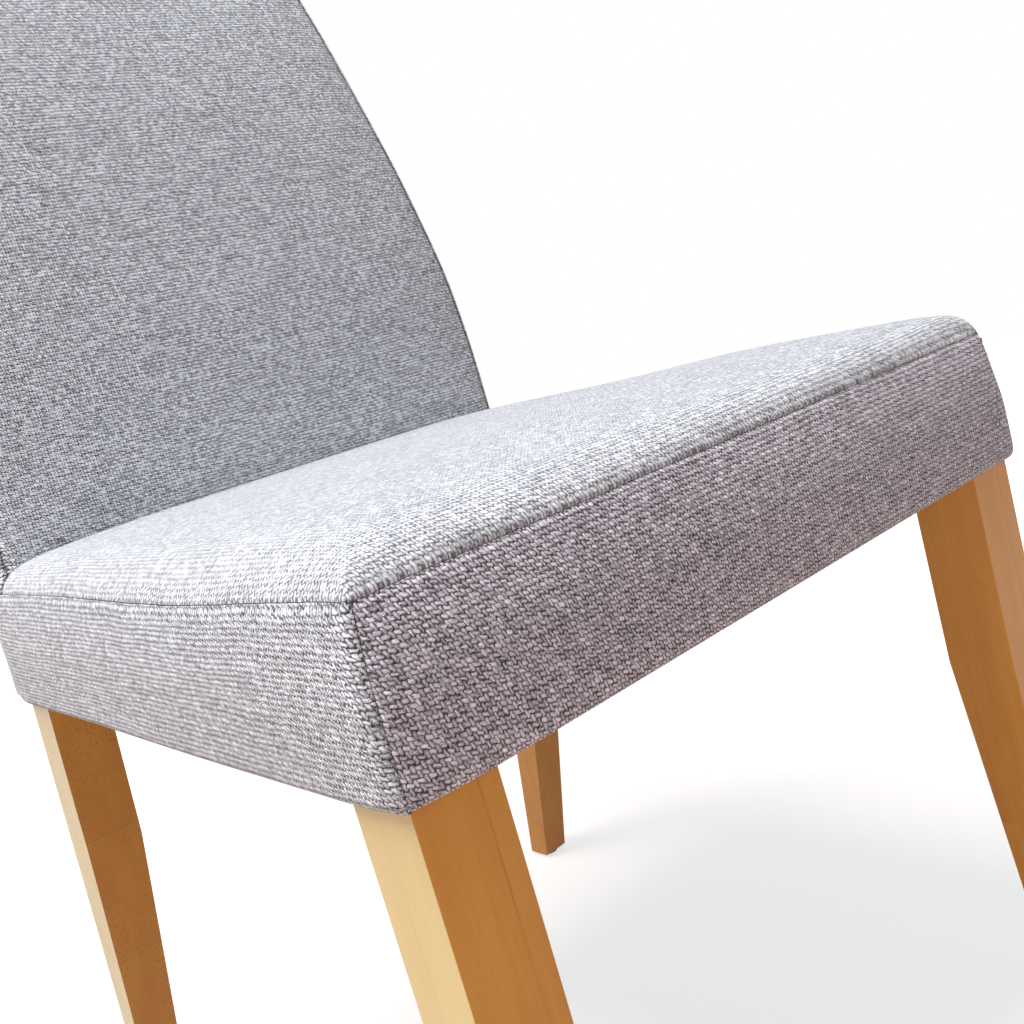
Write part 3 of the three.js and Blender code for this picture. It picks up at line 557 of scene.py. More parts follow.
def cut_along(body, point, normal, chosen=lambda centre: True, beside=(0, 1, 2.2, 3.6)):
    """Cuts a body on a seam's plane and on planes close to it, so that the groove has edges of its own.

    A dict drops what comes twice and keeps the order, where a set would change it from run to run.
    """
    normal = Vector(normal).normalized()
    for offset in sorted({side * step for step in beside for side in (-1, 1)}):
        geometry = [f for f in body.faces if chosen(f.calc_center_median())]
        geometry += dict.fromkeys(e for f in geometry for e in f.edges)
        geometry += dict.fromkeys(v for e in geometry if isinstance(e, bmesh.types.BMEdge) for v in e.verts)
        bmesh.ops.bisect_plane(body, geom=geometry, dist=0.01 * mm,
                               plane_co=Vector(point) + normal * offset * mm, plane_no=normal)


print("soft body helpers ready")

# %% Helpers for sewn panels
groove_depth, groove_width = 0.9 * mm, 1.3 * mm
far_off = 1.0
level_gap, upright_gap = 0.12 * mm, 0.20 * mm
stitch_length = 3.5 * mm
tuck = 2.6 * mm
cloth_thickness = 1.1 * mm
# These stand proud by the thickness of the cloth. The wall of the others grows inward.
proud_panels = ("seat_left_band", "back_left_side", "back_right_side")


def press_seams(body, seam_distance):
    """Pulls the cloth in along its seams. Only the nearest seam counts."""
    body.normal_update()
    moves = []
    for vertex in body.verts:
        away = seam_distance(vertex.co)
        moves.append(vertex.normal * groove_depth * math.exp(-((away / groove_width) ** 2)))
    for vertex, move in zip(body.verts, moves):
        vertex.co -= move


def open_seams(part, rim):
    """Draws the rim of a panel back from its seam, so that a slit shows between two panels."""
    for vertex in dict.fromkeys(v for e in rim for v in e.verts):
        ends = [e.other_vert(vertex).co for e in vertex.link_edges if e.is_boundary]
        if len(ends) != 2:
            continue
        along = (ends[0] - ends[1]).normalized()
        centres = [f.calc_center_median() for f in vertex.link_faces]
        back = sum(centres, Vector()) / len(centres) - vertex.co
        back -= along * back.dot(along)
        gap = upright_gap if abs(along.z) > 0.5 else level_gap
        if back.length > 0.05 * mm:
            vertex.co += back.normalized() * gap * (1 + 0.7 * noise.noise(vertex.co / stitch_length))


def panel_from(body, name, belongs, flat_place, finish, bend,
               turned_to=lambda vertex: -vertex.normal, seam_shaded=lambda centre: True):
    """One panel of the cover, with a map in metres and turned-in edges, bent to its place on the chair."""
    part = body.copy()
    inward = part.verts.layers.float_vector.new("inward")
    part.normal_update()
    for vertex in part.verts:
        vertex[inward] = turned_to(vertex)
    others = [f for f in part.faces if not belongs(f.calc_center_median())]
    bmesh.ops.delete(part, geom=others, context="FACES")
    cloth_map = part.loops.layers.uv.new("cloth")
    part.verts.index_update()
    flat = [flat_place(vertex.co) for vertex in part.verts]
    for face in part.faces:
        for loop in face.loops:
            loop[cloth_map].uv = flat[loop.vert.index]
    rim = [e for e in part.edges if e.is_boundary]
    open_seams(part, rim)
    turned = bmesh.ops.extrude_edge_only(part, edges=rim)["geom"]
    for part_of_edge in turned:
        if isinstance(part_of_edge, bmesh.types.BMVert):
            part_of_edge.co += part_of_edge[inward] * tuck
        elif isinstance(part_of_edge, bmesh.types.BMFace):
            # Painted shade: the turned-in faces take the second material, the painted seam shade.
            part_of_edge.material_index = int(seam_shaded(part_of_edge.calc_center_median()))
    for vertex in part.verts:
        vertex.co = bend(vertex.co)
    made = object_from(name, part)
    made.data.shade_smooth()
    made.data.materials.append(finish)
    made.data.materials.append(seam_shade_finish)
    wall = made.modifiers.new("cloth wall", "SOLIDIFY")
    wall.thickness = cloth_thickness
    wall.offset = 1 if name in proud_panels else -1
    return made


def upholstered(piece, node, fill):
    """Says what a soft piece is: it stands for a CAD node and rides on the chair. The fill share is not
    used.
    """
    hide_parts(node)
    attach(piece, "root")
    print(piece.name, len(piece.data.polygons), "faces")


print("panel helpers ready")

# %% [markdown]
# ## The seat's cover
# The seat is a low box with rounded corners. A front band and two side bands are sewn to the top panel and
# to each other, with upright seams at the very corners. The top rises in a steep roll at its edge and goes
# on in a shallow dome. The bands lean in a little towards the seam and roll under the rails at the bottom.
# The box is made longer than the seat, so that its far end, which the back hides, can be cut off.

# %% Sizes of the seat
seat_half = 230 * mm
seat_front = -308.6 * mm
box_bottom = 368.3 * mm
seam_height = 443.3 * mm
back_face = 145.4 * mm
back_depth = 38 * mm
rear_rake = 98 / 365
draw_side, draw_front, draw_height = 5 * mm, 6 * mm, 45 * mm
corner_radius, roll_radius = 6 * mm, 5 * mm
corner_reach = 26 * mm
rear_seam_ahead = 17.5 * mm
flap_width = 32 * mm
far_end = 300 * mm


def draw_share(z):
    """How far the bands have leant in at a height, as a share."""
    return min(1, max(0, z - (seam_height - draw_height)) / draw_height) ** 2


def half_at(z):
    return seat_half - draw_side * draw_share(z)


def front_at(z):
    return seat_front + draw_front * draw_share(z)


def inside_by(co):
    """How far a point lies inside the seat's outline."""
    side, ahead = half_at(co.z) - abs(co.x), co.y - front_at(co.z)
    if side < corner_radius and ahead < corner_radius:
        return corner_radius - math.hypot(corner_radius - side, corner_radius - ahead)
    return min(side, ahead)


print("seat", 2 * seat_half, "m wide")

# %% [markdown]
# The top's form has three parts that are added up: a steep lip at the seam, where the stuffing pushes the
# cloth up, a roll behind it, and a shallow dome over the whole seat. Each part rises from all three open
# edges. The roll is steeper on the right, and there the whole form is a little higher halfway back. The
# corner between two edges is as full as the edges are: the three rises are joined by a power mean, which
# keeps close to the lowest of them and has no crease.

# %% Crown of the seat
mitre_power = 7
rim_inset = 1.4 * mm
least_share = 0.02
hump_middle, hump_reach, hump_more = -165 * mm, 75 * mm, 0.14
# Height of each part, its runs at the left and the right, and its runs at the front's two ends
crown_parts = [
    (3.2 * mm, (2.2 * mm, 2.2 * mm), (2.4 * mm, 2.2 * mm)),
    (12.8 * mm, (13 * mm, 6.5 * mm), (15 * mm, 7.5 * mm)),
    (5 * mm, (60 * mm, 60 * mm), (60 * mm, 60 * mm)),
]


def eased(value, low, high):
    """Rises smoothly from 0 to 1 while the value goes from low to high."""
    share = min(1, max(0, (value - low) / (high - low)))
    return share * share * (3 - 2 * share)


def bell(distance, reach):
    """1 in the middle, and next to nothing at twice the reach."""
    return math.exp(-((distance / reach) ** 2))


def crown(co):
    """Height of the top over its seams."""
    edges = seat_half + co.x, seat_half - co.x, co.y - seat_front
    to_left, to_right, to_front = [edge - rim_inset for edge in edges]
    rightward = min(1, max(0, to_left / (2 * seat_half)))
    total = 0
    for height, (left_run, right_run), (front_left_run, front_right_run) in crown_parts:
        front_run = front_left_run + (front_right_run - front_left_run) * rightward
        pairs = (to_left, left_run), (to_right, right_run), (to_front, front_run)
        shares = [max(least_share, 1 - math.exp(-max(0, distance) / run)) for distance, run in pairs]
        mean = sum(share ** -mitre_power for share in shares) / 3
        total += height * mean ** (-1 / mitre_power)
    return total * (1 + hump_more * rightward * bell(co.y - hump_middle, hump_reach))


print("crown", round(crown(Vector((0, 0, 0))) / mm, 1), "mm in the middle")

# %% Seat body
seat_cell = 5 * mm
seat_block = block_between((-seat_half, seat_front, box_bottom), (seat_half, far_end, seam_height))
upright = [e for e in seat_block.edges
           if abs(e.verts[0].co.z - e.verts[1].co.z) > mm and e.verts[0].co.y < 0]
bmesh.ops.bevel(seat_block, geom=upright, offset=corner_radius, segments=5, profile=0.5,
                affect="EDGES", material=-1)
round_off(seat_block, lambda co: co.z < box_bottom + mm, roll_radius)
seat = even_body("seat body", seat_block, seat_cell)


def seat_held(co):
    near_seam = abs(co.z - seam_height) < 4 * mm and inside_by(co) < 6 * mm
    return near_seam or co.z < box_bottom + roll_radius or co.y > back_face


def seat_most(co):
    return 1.6 * mm if co.z > seam_height - 2 * mm else 1.2 * mm


puffed(seat, seat_held, seat_most)
seat_cover = smoothed(seat)
print("seat body", len(seat_cover.faces), "faces")

# %% Top rim and crown
def near_top_rim(co):
    inside = min(seat_half - abs(co.x), co.y - seat_front)
    return co.z > seam_height - 6 * mm and inside < 12 * mm and co.y < back_face + 5 * mm


rim_edges = [e for e in seat_cover.edges if all(near_top_rim(v.co) for v in e.verts)]
bmesh.ops.subdivide_edges(seat_cover, edges=rim_edges, cuts=1, use_grid_fill=True)
lift_from = 6 * mm
for vertex in seat_cover.verts:
    co = vertex.co
    lift = crown(co) * min(1, max(0, co.z - (seam_height - lift_from)) / lift_from)
    share = draw_share(co.z)
    forward = min(1, max(0, co.y / seat_front))
    co.x *= 1 - draw_side / seat_half * share
    co.y += draw_front * share * forward
    co.z += lift
print("with a finer rim", len(seat_cover.faces), "faces")

# %% [markdown]
# The cover is now cut along its seams. A seam pulls the cloth in, so each one gets a shallow groove, and
# the edges of both panels turn in there and are painted dark, a painted shade that leaves the fine dark
# line of a real seam.

# %% Seat seams
rear_seam_point = (0, back_face + back_depth - rear_seam_ahead, seam_height)
rear_seam_normal = Vector((0, 1, rear_rake)).normalized()
seam_zone = 9 * mm


def behind_rear_seam(co):
    return (co - Vector(rear_seam_point)).dot(rear_seam_normal)


def below_top(centre):
    return centre.z < seam_height


def ahead_of_mitre(co):
    """How far a point lies on the front's side of the upright plane that halves a front corner."""
    return ((seat_half - abs(co.x)) - (co.y - seat_front)) / math.sqrt(2)


def by_corner(co):
    return seat_half - abs(co.x) < corner_reach and co.y - seat_front < corner_reach


def near_outline(co):
    return inside_by(co) < seam_zone


cut_along(seat_cover, (0, 0, seam_height), (0, 0, 1), near_outline)
for side in (-1, 1):
    cut_along(seat_cover, (side * seat_half, seat_front, 0), (-side, -1, 0),
              lambda c: below_top(c) and by_corner(c) and c.x * side > 0)
cut_along(seat_cover, rear_seam_point, rear_seam_normal, below_top, (0, 1, 2.2))
top_rear = back_face - 0.3 * mm
cut_along(seat_cover, (0, top_rear, 0), (0, 1, 0), lambda c: not below_top(c), (0, 1, 2.2))


def seat_seam_distance(co):
    distances = [far_off]
    if near_outline(co):
        distances.append(abs(co.z - seam_height) + 0.3 * mm)
    if co.z < seam_height + 0.1 * mm:
        distances.append(abs(behind_rear_seam(co)))
        if co.z > box_bottom + 2 * mm and by_corner(co):
            distances.append(abs(ahead_of_mitre(co)))
    return min(distances)


press_seams(seat_cover, seat_seam_distance)
print("seat seams pressed")

# %% [markdown]
# Below the seat the cloth is cut out round the legs. Each opening is measured on the leg itself, so that
# it fits also when the model's sizes change.

# %% Openings round the legs
def merged_copy(node):
    """A CAD node's mesh as a bmesh, with the points of its triangles merged."""
    body = bmesh.new()
    body.from_mesh(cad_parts[node].data)
    bmesh.ops.remove_doubles(body, verts=body.verts, dist=0.01 * mm)
    return body


def cut_through(node, height):
    """Lowest and highest x and y of a CAD node at a height."""
    copy = merged_copy(node)
    geometry = copy.verts[:] + copy.edges[:] + copy.faces[:]
    cut = bmesh.ops.bisect_plane(copy, geom=geometry, plane_co=(0, 0, height), plane_no=(0, 0, 1))
    points = [v.co.copy() for v in cut["geom_cut"] if isinstance(v, bmesh.types.BMVert)]
    copy.free()
    return [(min(p[axis] for p in points), max(p[axis] for p in points)) for axis in (0, 1)]


leg_room = 0.4 * mm
leg_openings = []
for leg in leg_joints:
    (x_low, x_high), (y_low, y_high) = cut_through(leg, box_bottom)
    leg_openings.append((x_low - leg_room, x_high + leg_room, y_low - leg_room, y_high + leg_room))


def round_a_leg(co):
    return any(xl < co.x < xh and yl < co.y < yh for xl, xh, yl, yh in leg_openings)


def low_down(centre):
    return centre.z < box_bottom + roll_radius


def cut_round_legs(body, chosen):
    for x_low, x_high, y_low, y_high in leg_openings:
        for at_x in (x_low, x_high):
            cut_along(body, (at_x, 0, 0), (1, 0, 0), chosen, (0,))
        for at_y in (y_low, y_high):
            cut_along(body, (0, at_y, 0), (0, 1, 0), chosen, (0,))


cut_round_legs(seat_cover, low_down)
print("leg openings", [[round(c / mm, 1) for c in opening] for opening in leg_openings])

# %% [markdown]
# Each panel has a map in metres, so that the weave keeps its size and runs the right way: across and back
# on the top, and round and up on the bands. Where the top rolls down to its seam the map follows the
# slope, or the weave would be stretched there.

# %% Maps of the seat's panels
slope_reach = 100 * mm


def slope_length(distance):
    """How much longer the crown's surface is than its plan, from its edge inwards."""
    total, steps = 0, 40
    reach = min(max(distance, 0), slope_reach)
    for step in range(steps):
        at, width = reach * ((step + 0.5) / steps) ** 2, reach * (2 * step + 1) / steps ** 2
        slope = sum(height / run * math.exp(-at / run) for height, (run, _), _ in crown_parts)
        total += (math.hypot(1, slope) - 1) * width
    return total


whole_slope = slope_length(slope_reach)


def slope_left(distance):
    return whole_slope - slope_length(distance)


def top_place(co):
    half, front = half_at(seam_height), front_at(seam_height)
    left, right, ahead = [edge - rim_inset for edge in (half + co.x, half - co.x, co.y - front)]
    return (co.x + slope_left(right) - slope_left(left), co.y - slope_left(ahead))


def round_place(co):
    """How far round the seat's outline from the middle of its front."""
    side, ahead = half_at(co.z) - abs(co.x), co.y - front_at(co.z)
    straight = half_at(co.z) - corner_radius
    quarter = corner_radius * math.pi / 2
    if ahead > corner_radius:
        distance = straight + quarter + ahead - corner_radius
    elif side > corner_radius:
        distance = abs(co.x)
    else:
        distance = straight + corner_radius * math.atan2(corner_radius - side, corner_radius - ahead)
    return math.copysign(distance, co.x)


def up_place(co):
    """How far up the band, followed round its roll at the bottom and along the flap below."""
    inside, centre = max(0, inside_by(co)), box_bottom + roll_radius
    if co.z > centre:
        return co.z
    if inside > roll_radius:
        return centre - roll_radius * math.pi / 2 - (inside - roll_radius)
    return centre - roll_radius * math.atan2(centre - co.z, roll_radius - inside)


def band_place(shift):
    return lambda co: (round_place(co) + shift, up_place(co))


print("crown slope adds", round(whole_slope / mm, 2), "mm at each edge")

# %% [markdown]
# A real cover doesn't lie quite true. On the left the top seam has slipped down a few millimetres, the
# bands are full below the seam, the right band stands a little proud of it, and the lower edge sags
# between the legs. At the rear the cloth is drawn in below the back.

# %% Seat panels
leg_inner = 185 * mm
front_leg_back = -263.6 * mm


def in_flap(centre):
    return centre.z > box_bottom + 2 * mm or inside_by(centre) < flap_width


def kept_below(centre):
    if centre.z > seam_height or behind_rear_seam(centre) > 0 or not in_flap(centre):
        return False
    return not (low_down(centre) and round_a_leg(centre))


def at_front(centre):
    if centre.z < box_bottom + 3 * mm and abs(centre.x) < leg_inner:
        return centre.y < front_leg_back
    return ahead_of_mitre(centre) > 0


slip_most, slip_middle, slip_reach, slip_waver = 4.3 * mm, 175 * mm, 120 * mm, 0.35 * mm
bulge_front, bulge_left, bulge_right = 1.8 * mm, 0.8 * mm, 1.4 * mm
proud_right, proud_reach = 4.4 * mm, 16 * mm
side_zone = 40 * mm
full_height = 45 * mm
droop, droop_height, firm_corner = 1.8 * mm, 20 * mm, 22 * mm
rear_tuck_in = 4.5 * mm
top_rim = seam_height + 1.5 * mm
corner_zone = 8 * mm


def sagged(co):
    """The slipped top seam on the left, the fullness of the bands, and the sag of their lower edge."""
    along = co.y - seat_front
    waver = slip_waver * noise.noise(Vector((along / (21 * mm), 3.1, 0.7)))
    slip = (slip_most * bell(along - slip_middle, slip_reach) + waver) * bell(co.z - seam_height, 26 * mm)
    left, right = [eased(side * co.x, seat_half - side_zone, seat_half) for side in (-1, 1)]
    front = eased(-co.y, -seat_front - side_zone, -seat_front)
    full = eased(seam_height - co.z, 0, full_height)
    low = bell(co.z - box_bottom, droop_height) * eased(-inside_by(co), -13 * mm, -2 * mm)
    low *= 1 - 0.9 * bell(math.hypot(co.x + seat_half, co.y - seat_front), firm_corner)
    outward = proud_right * bell(co.z - seam_height, proud_reach)
    outward += bulge_right * eased(seam_height - co.z, 20 * mm, 60 * mm) + draw_side * draw_share(co.z)
    outward *= 1 - eased(co.y, 90 * mm, back_face)
    tucked = rear_tuck_in * eased(co.y, back_face, back_face + back_depth) * full
    return Vector((
        co.x + outward * right - bulge_left * full * left
        + tucked * (left - right),
        co.y - full * bulge_front * front,
        co.z - slip * left - droop * low * eased(-co.y, -60 * mm, 160 * mm),
    ))


def into_seat(vertex):
    """Where the cloth's edge turns to: level into the seat, or up where the cloth rolls under the box."""
    co = vertex.co
    if co.z > top_rim:
        return -vertex.normal
    outline = seat_half - abs(co.x), co.y - seat_front
    across, back = [math.exp(-min(20, max(0, distance) / corner_zone)) for distance in outline]
    level = Vector((-math.copysign(across, co.x), back, 0)).normalized()
    up = eased(box_bottom + roll_radius - co.z, 0, roll_radius)
    return (level * (1 - up) + Vector((0, 0, up))).normalized()


seat_panels = {
    "seat_top_cover": ("seat_top_panel", 0.75, top_place, seat_finish,
                       lambda c: c.z > seam_height and c.y < top_rear),
    "seat_front_band": ("seat_front_boxing", 0.6, band_place(0.7 * mm), front_finish,
                        lambda c: kept_below(c) and at_front(c)),
    "seat_left_band": ("seat_left_boxing", 0.6, band_place(0), band_finish,
                       lambda c: kept_below(c) and not at_front(c) and c.x < 0),
    "seat_right_band": ("seat_right_boxing", 0.6, band_place(1.3 * mm), band_finish,
                        lambda c: kept_below(c) and not at_front(c) and c.x > 0),
}
for name, (node, fill_share, flat_place, finish, belongs) in seat_panels.items():
    panel = panel_from(seat_cover, name, belongs, flat_place, finish, sagged, into_seat,
                       lambda c: c.z < top_rim)
    upholstered(panel, node, fill_share)
seat_cover.free()

# %% [markdown]
# ## The back's cover
# The back is a slim padded board that narrows and leans more and more towards its top. Its cover has a
# front panel, a gusset round the sides and the top, and a rear panel that runs down to the bottom of the
# seat box. The body is made straight, where seams are flat cuts, and the finished panels are then bent to
# the back's curve.

# %% Sizes of the back
back_top = 980.3 * mm
back_height = back_top - seam_height
back_half = 225 * mm
back_lean, back_narrowing = 132 * mm, 22 * mm
depth_at_top = 34 * mm
top_corner = 34 * mm
front_seam_set = 4 * mm
gusset_flare, flare_end, flare_rise = 10 * mm, 19.6 * mm, 12 * mm
# How far up the back, and the share of the whole lean or narrowing that is reached there
lean_shares = [(0, 0), (0.2, 0.001), (0.28, 0.019), (0.447, 0.153), (0.572, 0.291), (0.704, 0.474),
               (0.795, 0.632), (1, 1)]
narrowing_shares = [(0, 0), (0.12, 0.02), (0.28, 0.27), (0.447, 0.56), (0.572, 0.8), (0.704, 0.93),
                    (0.795, 0.98), (1, 1)]


def follow(shares, share):
    """A table read between its rows, in a straight line."""
    for (low, start), (high, end) in zip(shares, shares[1:]):
        if share <= high:
            return start + (end - start) * (share - low) / (high - low)
    return shares[-1][1]


def softly(shares, share, reach=0.05):
    """The same, averaged over a short way so that the bends are soft."""
    spots = [share + reach * step / 4 for step in range(-4, 5)]
    return sum(follow(shares, min(1, max(0, spot))) for spot in spots) / len(spots)


curve_steps = 240
curve = [(softly(lean_shares, step / curve_steps), softly(narrowing_shares, step / curve_steps))
         for step in range(curve_steps + 1)]


def curve_at(z):
    place = min(1, max(0, (z - seam_height) / back_height)) * curve_steps
    step = min(int(place), curve_steps - 1)
    low, high = curve[step], curve[step + 1]
    return [a + (b - a) * (place - step) for a, b in zip(low, high)]


def bent(co):
    """Takes a point of the straight back to its place on the chair. y is its depth behind the front face."""
    lean, narrowing = curve_at(co.z)
    share = min(1, max(0, (co.z - seam_height) / back_height))
    if co.z < seam_height:
        half = half_at(co.z) - rear_tuck_in * eased(seam_height - co.z, 0, full_height)
        face = back_face + (seam_height - co.z) * rear_rake
    else:
        half, face = back_half - back_narrowing * narrowing, back_face + back_lean * lean
    flare_share = min(1, max(0, (co.z - seam_height) / flare_rise))
    flare = gusset_flare * flare_share * (1 - min(1, max(0, co.y) / flare_end))
    depth = co.y * (1 + (depth_at_top / back_depth - 1) * share)
    return Vector((co.x * (half - flare) / back_half, face + depth, co.z))


print("back", round(back_height / mm, 1), "mm high")

# %% Back body
back_block = block_between((-back_half, 0, box_bottom), (back_half, back_depth, back_top))
corners = [e for e in back_block.edges if all(v.co.z > back_top - mm for v in e.verts)
           and abs(e.verts[0].co.y - e.verts[1].co.y) > mm]
bmesh.ops.bevel(back_block, geom=corners, offset=top_corner, segments=8, profile=0.5,
                affect="EDGES", material=-1)
front_rounding, rear_rounding = 6 * mm, 12 * mm
round_off(back_block, lambda co: co.y < 0.01 * mm, front_rounding)
round_off(back_block, lambda co: co.y > back_depth - 0.01 * mm, rear_rounding)
back = even_body("back body", back_block, seat_cell)
rear_seam_depth = back_depth - rear_seam_ahead


def back_held(co):
    at_edge = abs(co.x) > back_half - 2 * mm or co.z > back_top - 3 * mm
    near_seam = abs(co.y - front_seam_set) < 4 * mm or abs(co.y - rear_seam_depth) < 4 * mm
    return (at_edge and near_seam) or co.z < seam_height + 16 * mm


def back_most(co):
    return 3.0 * mm if co.y < back_depth / 2 else 1.5 * mm


puffed(back, back_held, back_most)
back_cover = smoothed(back)
print("back body", len(back_cover.faces), "faces")

# %% Back seams
def at_edge(co):
    return abs(co.x) > back_half - 8 * mm or not box_bottom + 12 * mm < co.z < back_top - 12 * mm


top_seam = back_top - top_corner
cut_along(back_cover, (0, front_seam_set, 0), (0, 1, 0), at_edge)
cut_along(back_cover, (0, rear_seam_depth, 0), (0, 1, 0), at_edge)
cut_along(back_cover, (0, 0, seam_height), (0, 0, 1), beside=(0, 1, 2.2))
for x_low, x_high, y_low, y_high in leg_openings[2:]:
    for at_x in (x_low, x_high):
        cut_along(back_cover, (at_x * back_half / seat_half, 0, 0), (1, 0, 0), low_down, (0,))


def in_gusset(co):
    return front_seam_set < co.y < rear_seam_depth


cut_along(back_cover, (0, 0, top_seam), (0, 0, 1), in_gusset)


def back_seam_distance(co):
    distances = [far_off]
    if co.z > seam_height - mm and at_edge(co):
        distances.append(abs(co.y - front_seam_set))
    if at_edge(co):
        distances.append(abs(co.y - rear_seam_depth))
    if in_gusset(co):
        distances += [abs(co.z - top_seam), abs(co.z - seam_height)]
    return min(distances)


press_seams(back_cover, back_seam_distance)
print("back seams pressed")

# %% Back panels
def face_place(co):
    return (co.x, co.z)


def gusset_place(co):
    if co.z > top_seam:
        return (co.x, co.y)
    return (co.y, co.z)


def rear_kept(centre):
    if centre.y < rear_seam_depth and centre.z > box_bottom + 2 * mm:
        return False
    if centre.z < box_bottom + 2 * mm and centre.y < back_depth - flap_width:
        return False
    return not (low_down(centre) and round_a_leg(bent(centre)))


back_panels = {
    "back_front_cover": ("back_front_panel", 0.6, face_place,
                         lambda c: c.y < front_seam_set and c.z > seam_height),
    "back_left_side": ("back_left_gusset", 0.5, gusset_place,
                       lambda c: in_gusset(c) and seam_height < c.z < top_seam and c.x < 0),
    "back_right_side": ("back_right_gusset", 0.5, gusset_place,
                        lambda c: in_gusset(c) and seam_height < c.z < top_seam and c.x > 0),
    "back_top_side": ("back_top_gusset", 0.5, gusset_place,
                      lambda c: in_gusset(c) and c.z > top_seam),
    "back_rear_cover": ("back_rear_panel", 0.5, face_place, rear_kept),
}
for name, (node, fill_share, flat_place, belongs) in back_panels.items():
    upholstered(panel_from(back_cover, name, belongs, flat_place, back_finish, bent), node, fill_share)
back_cover.free()

# %% [markdown]
# ## Foam
# Cut foam gives the seat and the back their shape. Nobody sees it while the cover is on, but the part
# comes apart, so it gets a form and a finish as well. Each block starts from the CAD solid, gets even
# cells and is drawn in a little all round, as foam is under a tight cover. Its finish is a pale yellow
# with open cells.

# %% Foam finish
def open_cell_foam(name):
    foam = Finish(name)
    x, y, z = foam.object_place()
    place = foam.point(x, y, z)
    cells = foam.node("ShaderNodeTexVoronoi", {}, {"Vector": place, "Scale": 1100})
    clouds = foam.speckle(place, 14, 3)
    colour = foam.blend(foam.ease(cells, 0.1, 0.6), (0.46, 0.38, 0.16), (0.80, 0.73, 0.46))
    colour = foam.shade(colour, clouds * 0.25 + 0.85)
    bump = foam.bump(0.6, 0.3 * mm, cells)
    return foam.surface(Base_Color=colour, Roughness=0.95, Specular_IOR_Level=0.1, Normal=bump)


foam_finish = open_cell_foam("open cell foam")
print("foam finish ready")

# %% Foam blocks
def foam_block(name, node, cell, drawn_in, fill, place):
    made = even_body(name, merged_copy(node), cell)
    block = bmesh.new()
    block.from_mesh(made.data)
    bmesh.ops.smooth_vert(block, verts=block.verts, factor=0.5,
                          use_axis_x=True, use_axis_y=True, use_axis_z=True)
    block.normal_update()
    for vertex in block.verts:
        vertex.co = place(vertex.co - vertex.normal * drawn_in)
    block.to_mesh(made.data)
    block.free()
    made.data.shade_smooth()
    made.data.materials.clear()
    made.data.materials.append(foam_finish)
    upholstered(made, node, fill)


def below_top_edge(co):
    """Draws the foam in under the back's round top edge, or its square edge would come through."""
    rearward = eased(co.y, 284 * mm, 302 * mm)
    ahead, down = eased(co.z, 955 * mm, 966 * mm), eased(co.z, 969 * mm, 976 * mm)
    return Vector((co.x, co.y - 4 * mm * rearward * ahead, co.z - 2 * mm * rearward * down))


foam_block("seat_foam_block", "seat_foam", 7 * mm, 3 * mm, 0.8, sagged)
foam_block("back_foam_pad", "back_foam", 4 * mm, 0.4 * mm, 0.6, below_top_edge)

# %% [markdown]
# ## Frame timber, boards and hardware
# Under the cover is a plain frame of unfinished softwood rails and posts, with plywood boards, and zinc-
# plated bolts that hold the legs. These solids are kept as they are. Sawn timber is matt, with the same
# streaks as the legs but no lacquer. Plywood shows its plies on its edges: bands across its thickness.
# Plated steel is a metal with a fine cloudy bloom. The glides under the feet are moulded nylon, scuffed
# where they meet the floor.

# %% Frame finishes
def sawn_timber(name, along):
    wood = Finish(name)
    axes = dict(zip("xyz", wood.object_place()))
    stretch = {axis: (14 if axis == along else 300) for axis in axes}
    grain = wood.point(*[axes[axis] * stretch[axis] for axis in "xyz"])
    slow = wood.point(*[axes[axis] * stretch[axis] / 6 for axis in "xyz"])
    streaks = wood.speckle(grain, 1, 3, 0.6)
    bands = wood.speckle(slow, 1, 2)
    saw = wood.math("SINE", axes[along] * (2 * math.pi / (3 * mm)))
    tone = wood.ease(streaks * 0.5 + bands * 0.5, 0.35, 0.65)
    colour = wood.blend(tone, (0.52, 0.33, 0.15), (0.78, 0.60, 0.36))
    bump = wood.bump(0.4, 0.15 * mm, streaks + saw * 0.12)
    return wood.surface(Base_Color=colour, Roughness=0.78, Specular_IOR_Level=0.25, Normal=bump)


def plywood(name, across):
    ply = Finish(name)
    axes = dict(zip("xyz", ply.object_place()))
    layer = ply.math("FLOOR", axes[across] / (1.3 * mm))
    turn = ply.math("ABSOLUTE", ply.math("MODULO", layer, 2.0))
    first, second = [axes[a] for a in "xyz" if a != across]
    one_way = ply.speckle(ply.point(first * 12, second * 260, layer), 1, 3)
    other_way = ply.speckle(ply.point(first * 260, second * 12, layer), 1, 3)
    veneer = one_way + (other_way - one_way) * turn
    colour = ply.blend(ply.ease(veneer, 0.35, 0.65), (0.50, 0.34, 0.18), (0.74, 0.57, 0.37))
    colour = ply.shade(colour, 1 - turn * 0.22)
    bump = ply.bump(0.3, 0.1 * mm, veneer)
    return ply.surface(Base_Color=colour, Roughness=0.72, Specular_IOR_Level=0.25, Normal=bump)


def plated_steel(name):
    steel = Finish(name)
    x, y, z = steel.object_place()
    place = steel.point(x, y, z)
    bloom = steel.speckle(place, 260, 3)
    scratches = steel.speckle(steel.point(x * 200, y * 200, z * 3000), 1, 2)
    colour = steel.blend(steel.ease(bloom, 0.35, 0.65), (0.50, 0.51, 0.53), (0.66, 0.67, 0.66))
    bump = steel.bump(0.2, 0.05 * mm, scratches)
    return steel.surface(Base_Color=colour, Metallic=1, Roughness=steel.ease(bloom, 0.3, 0.7, 0.28, 0.46),
                         Normal=bump)


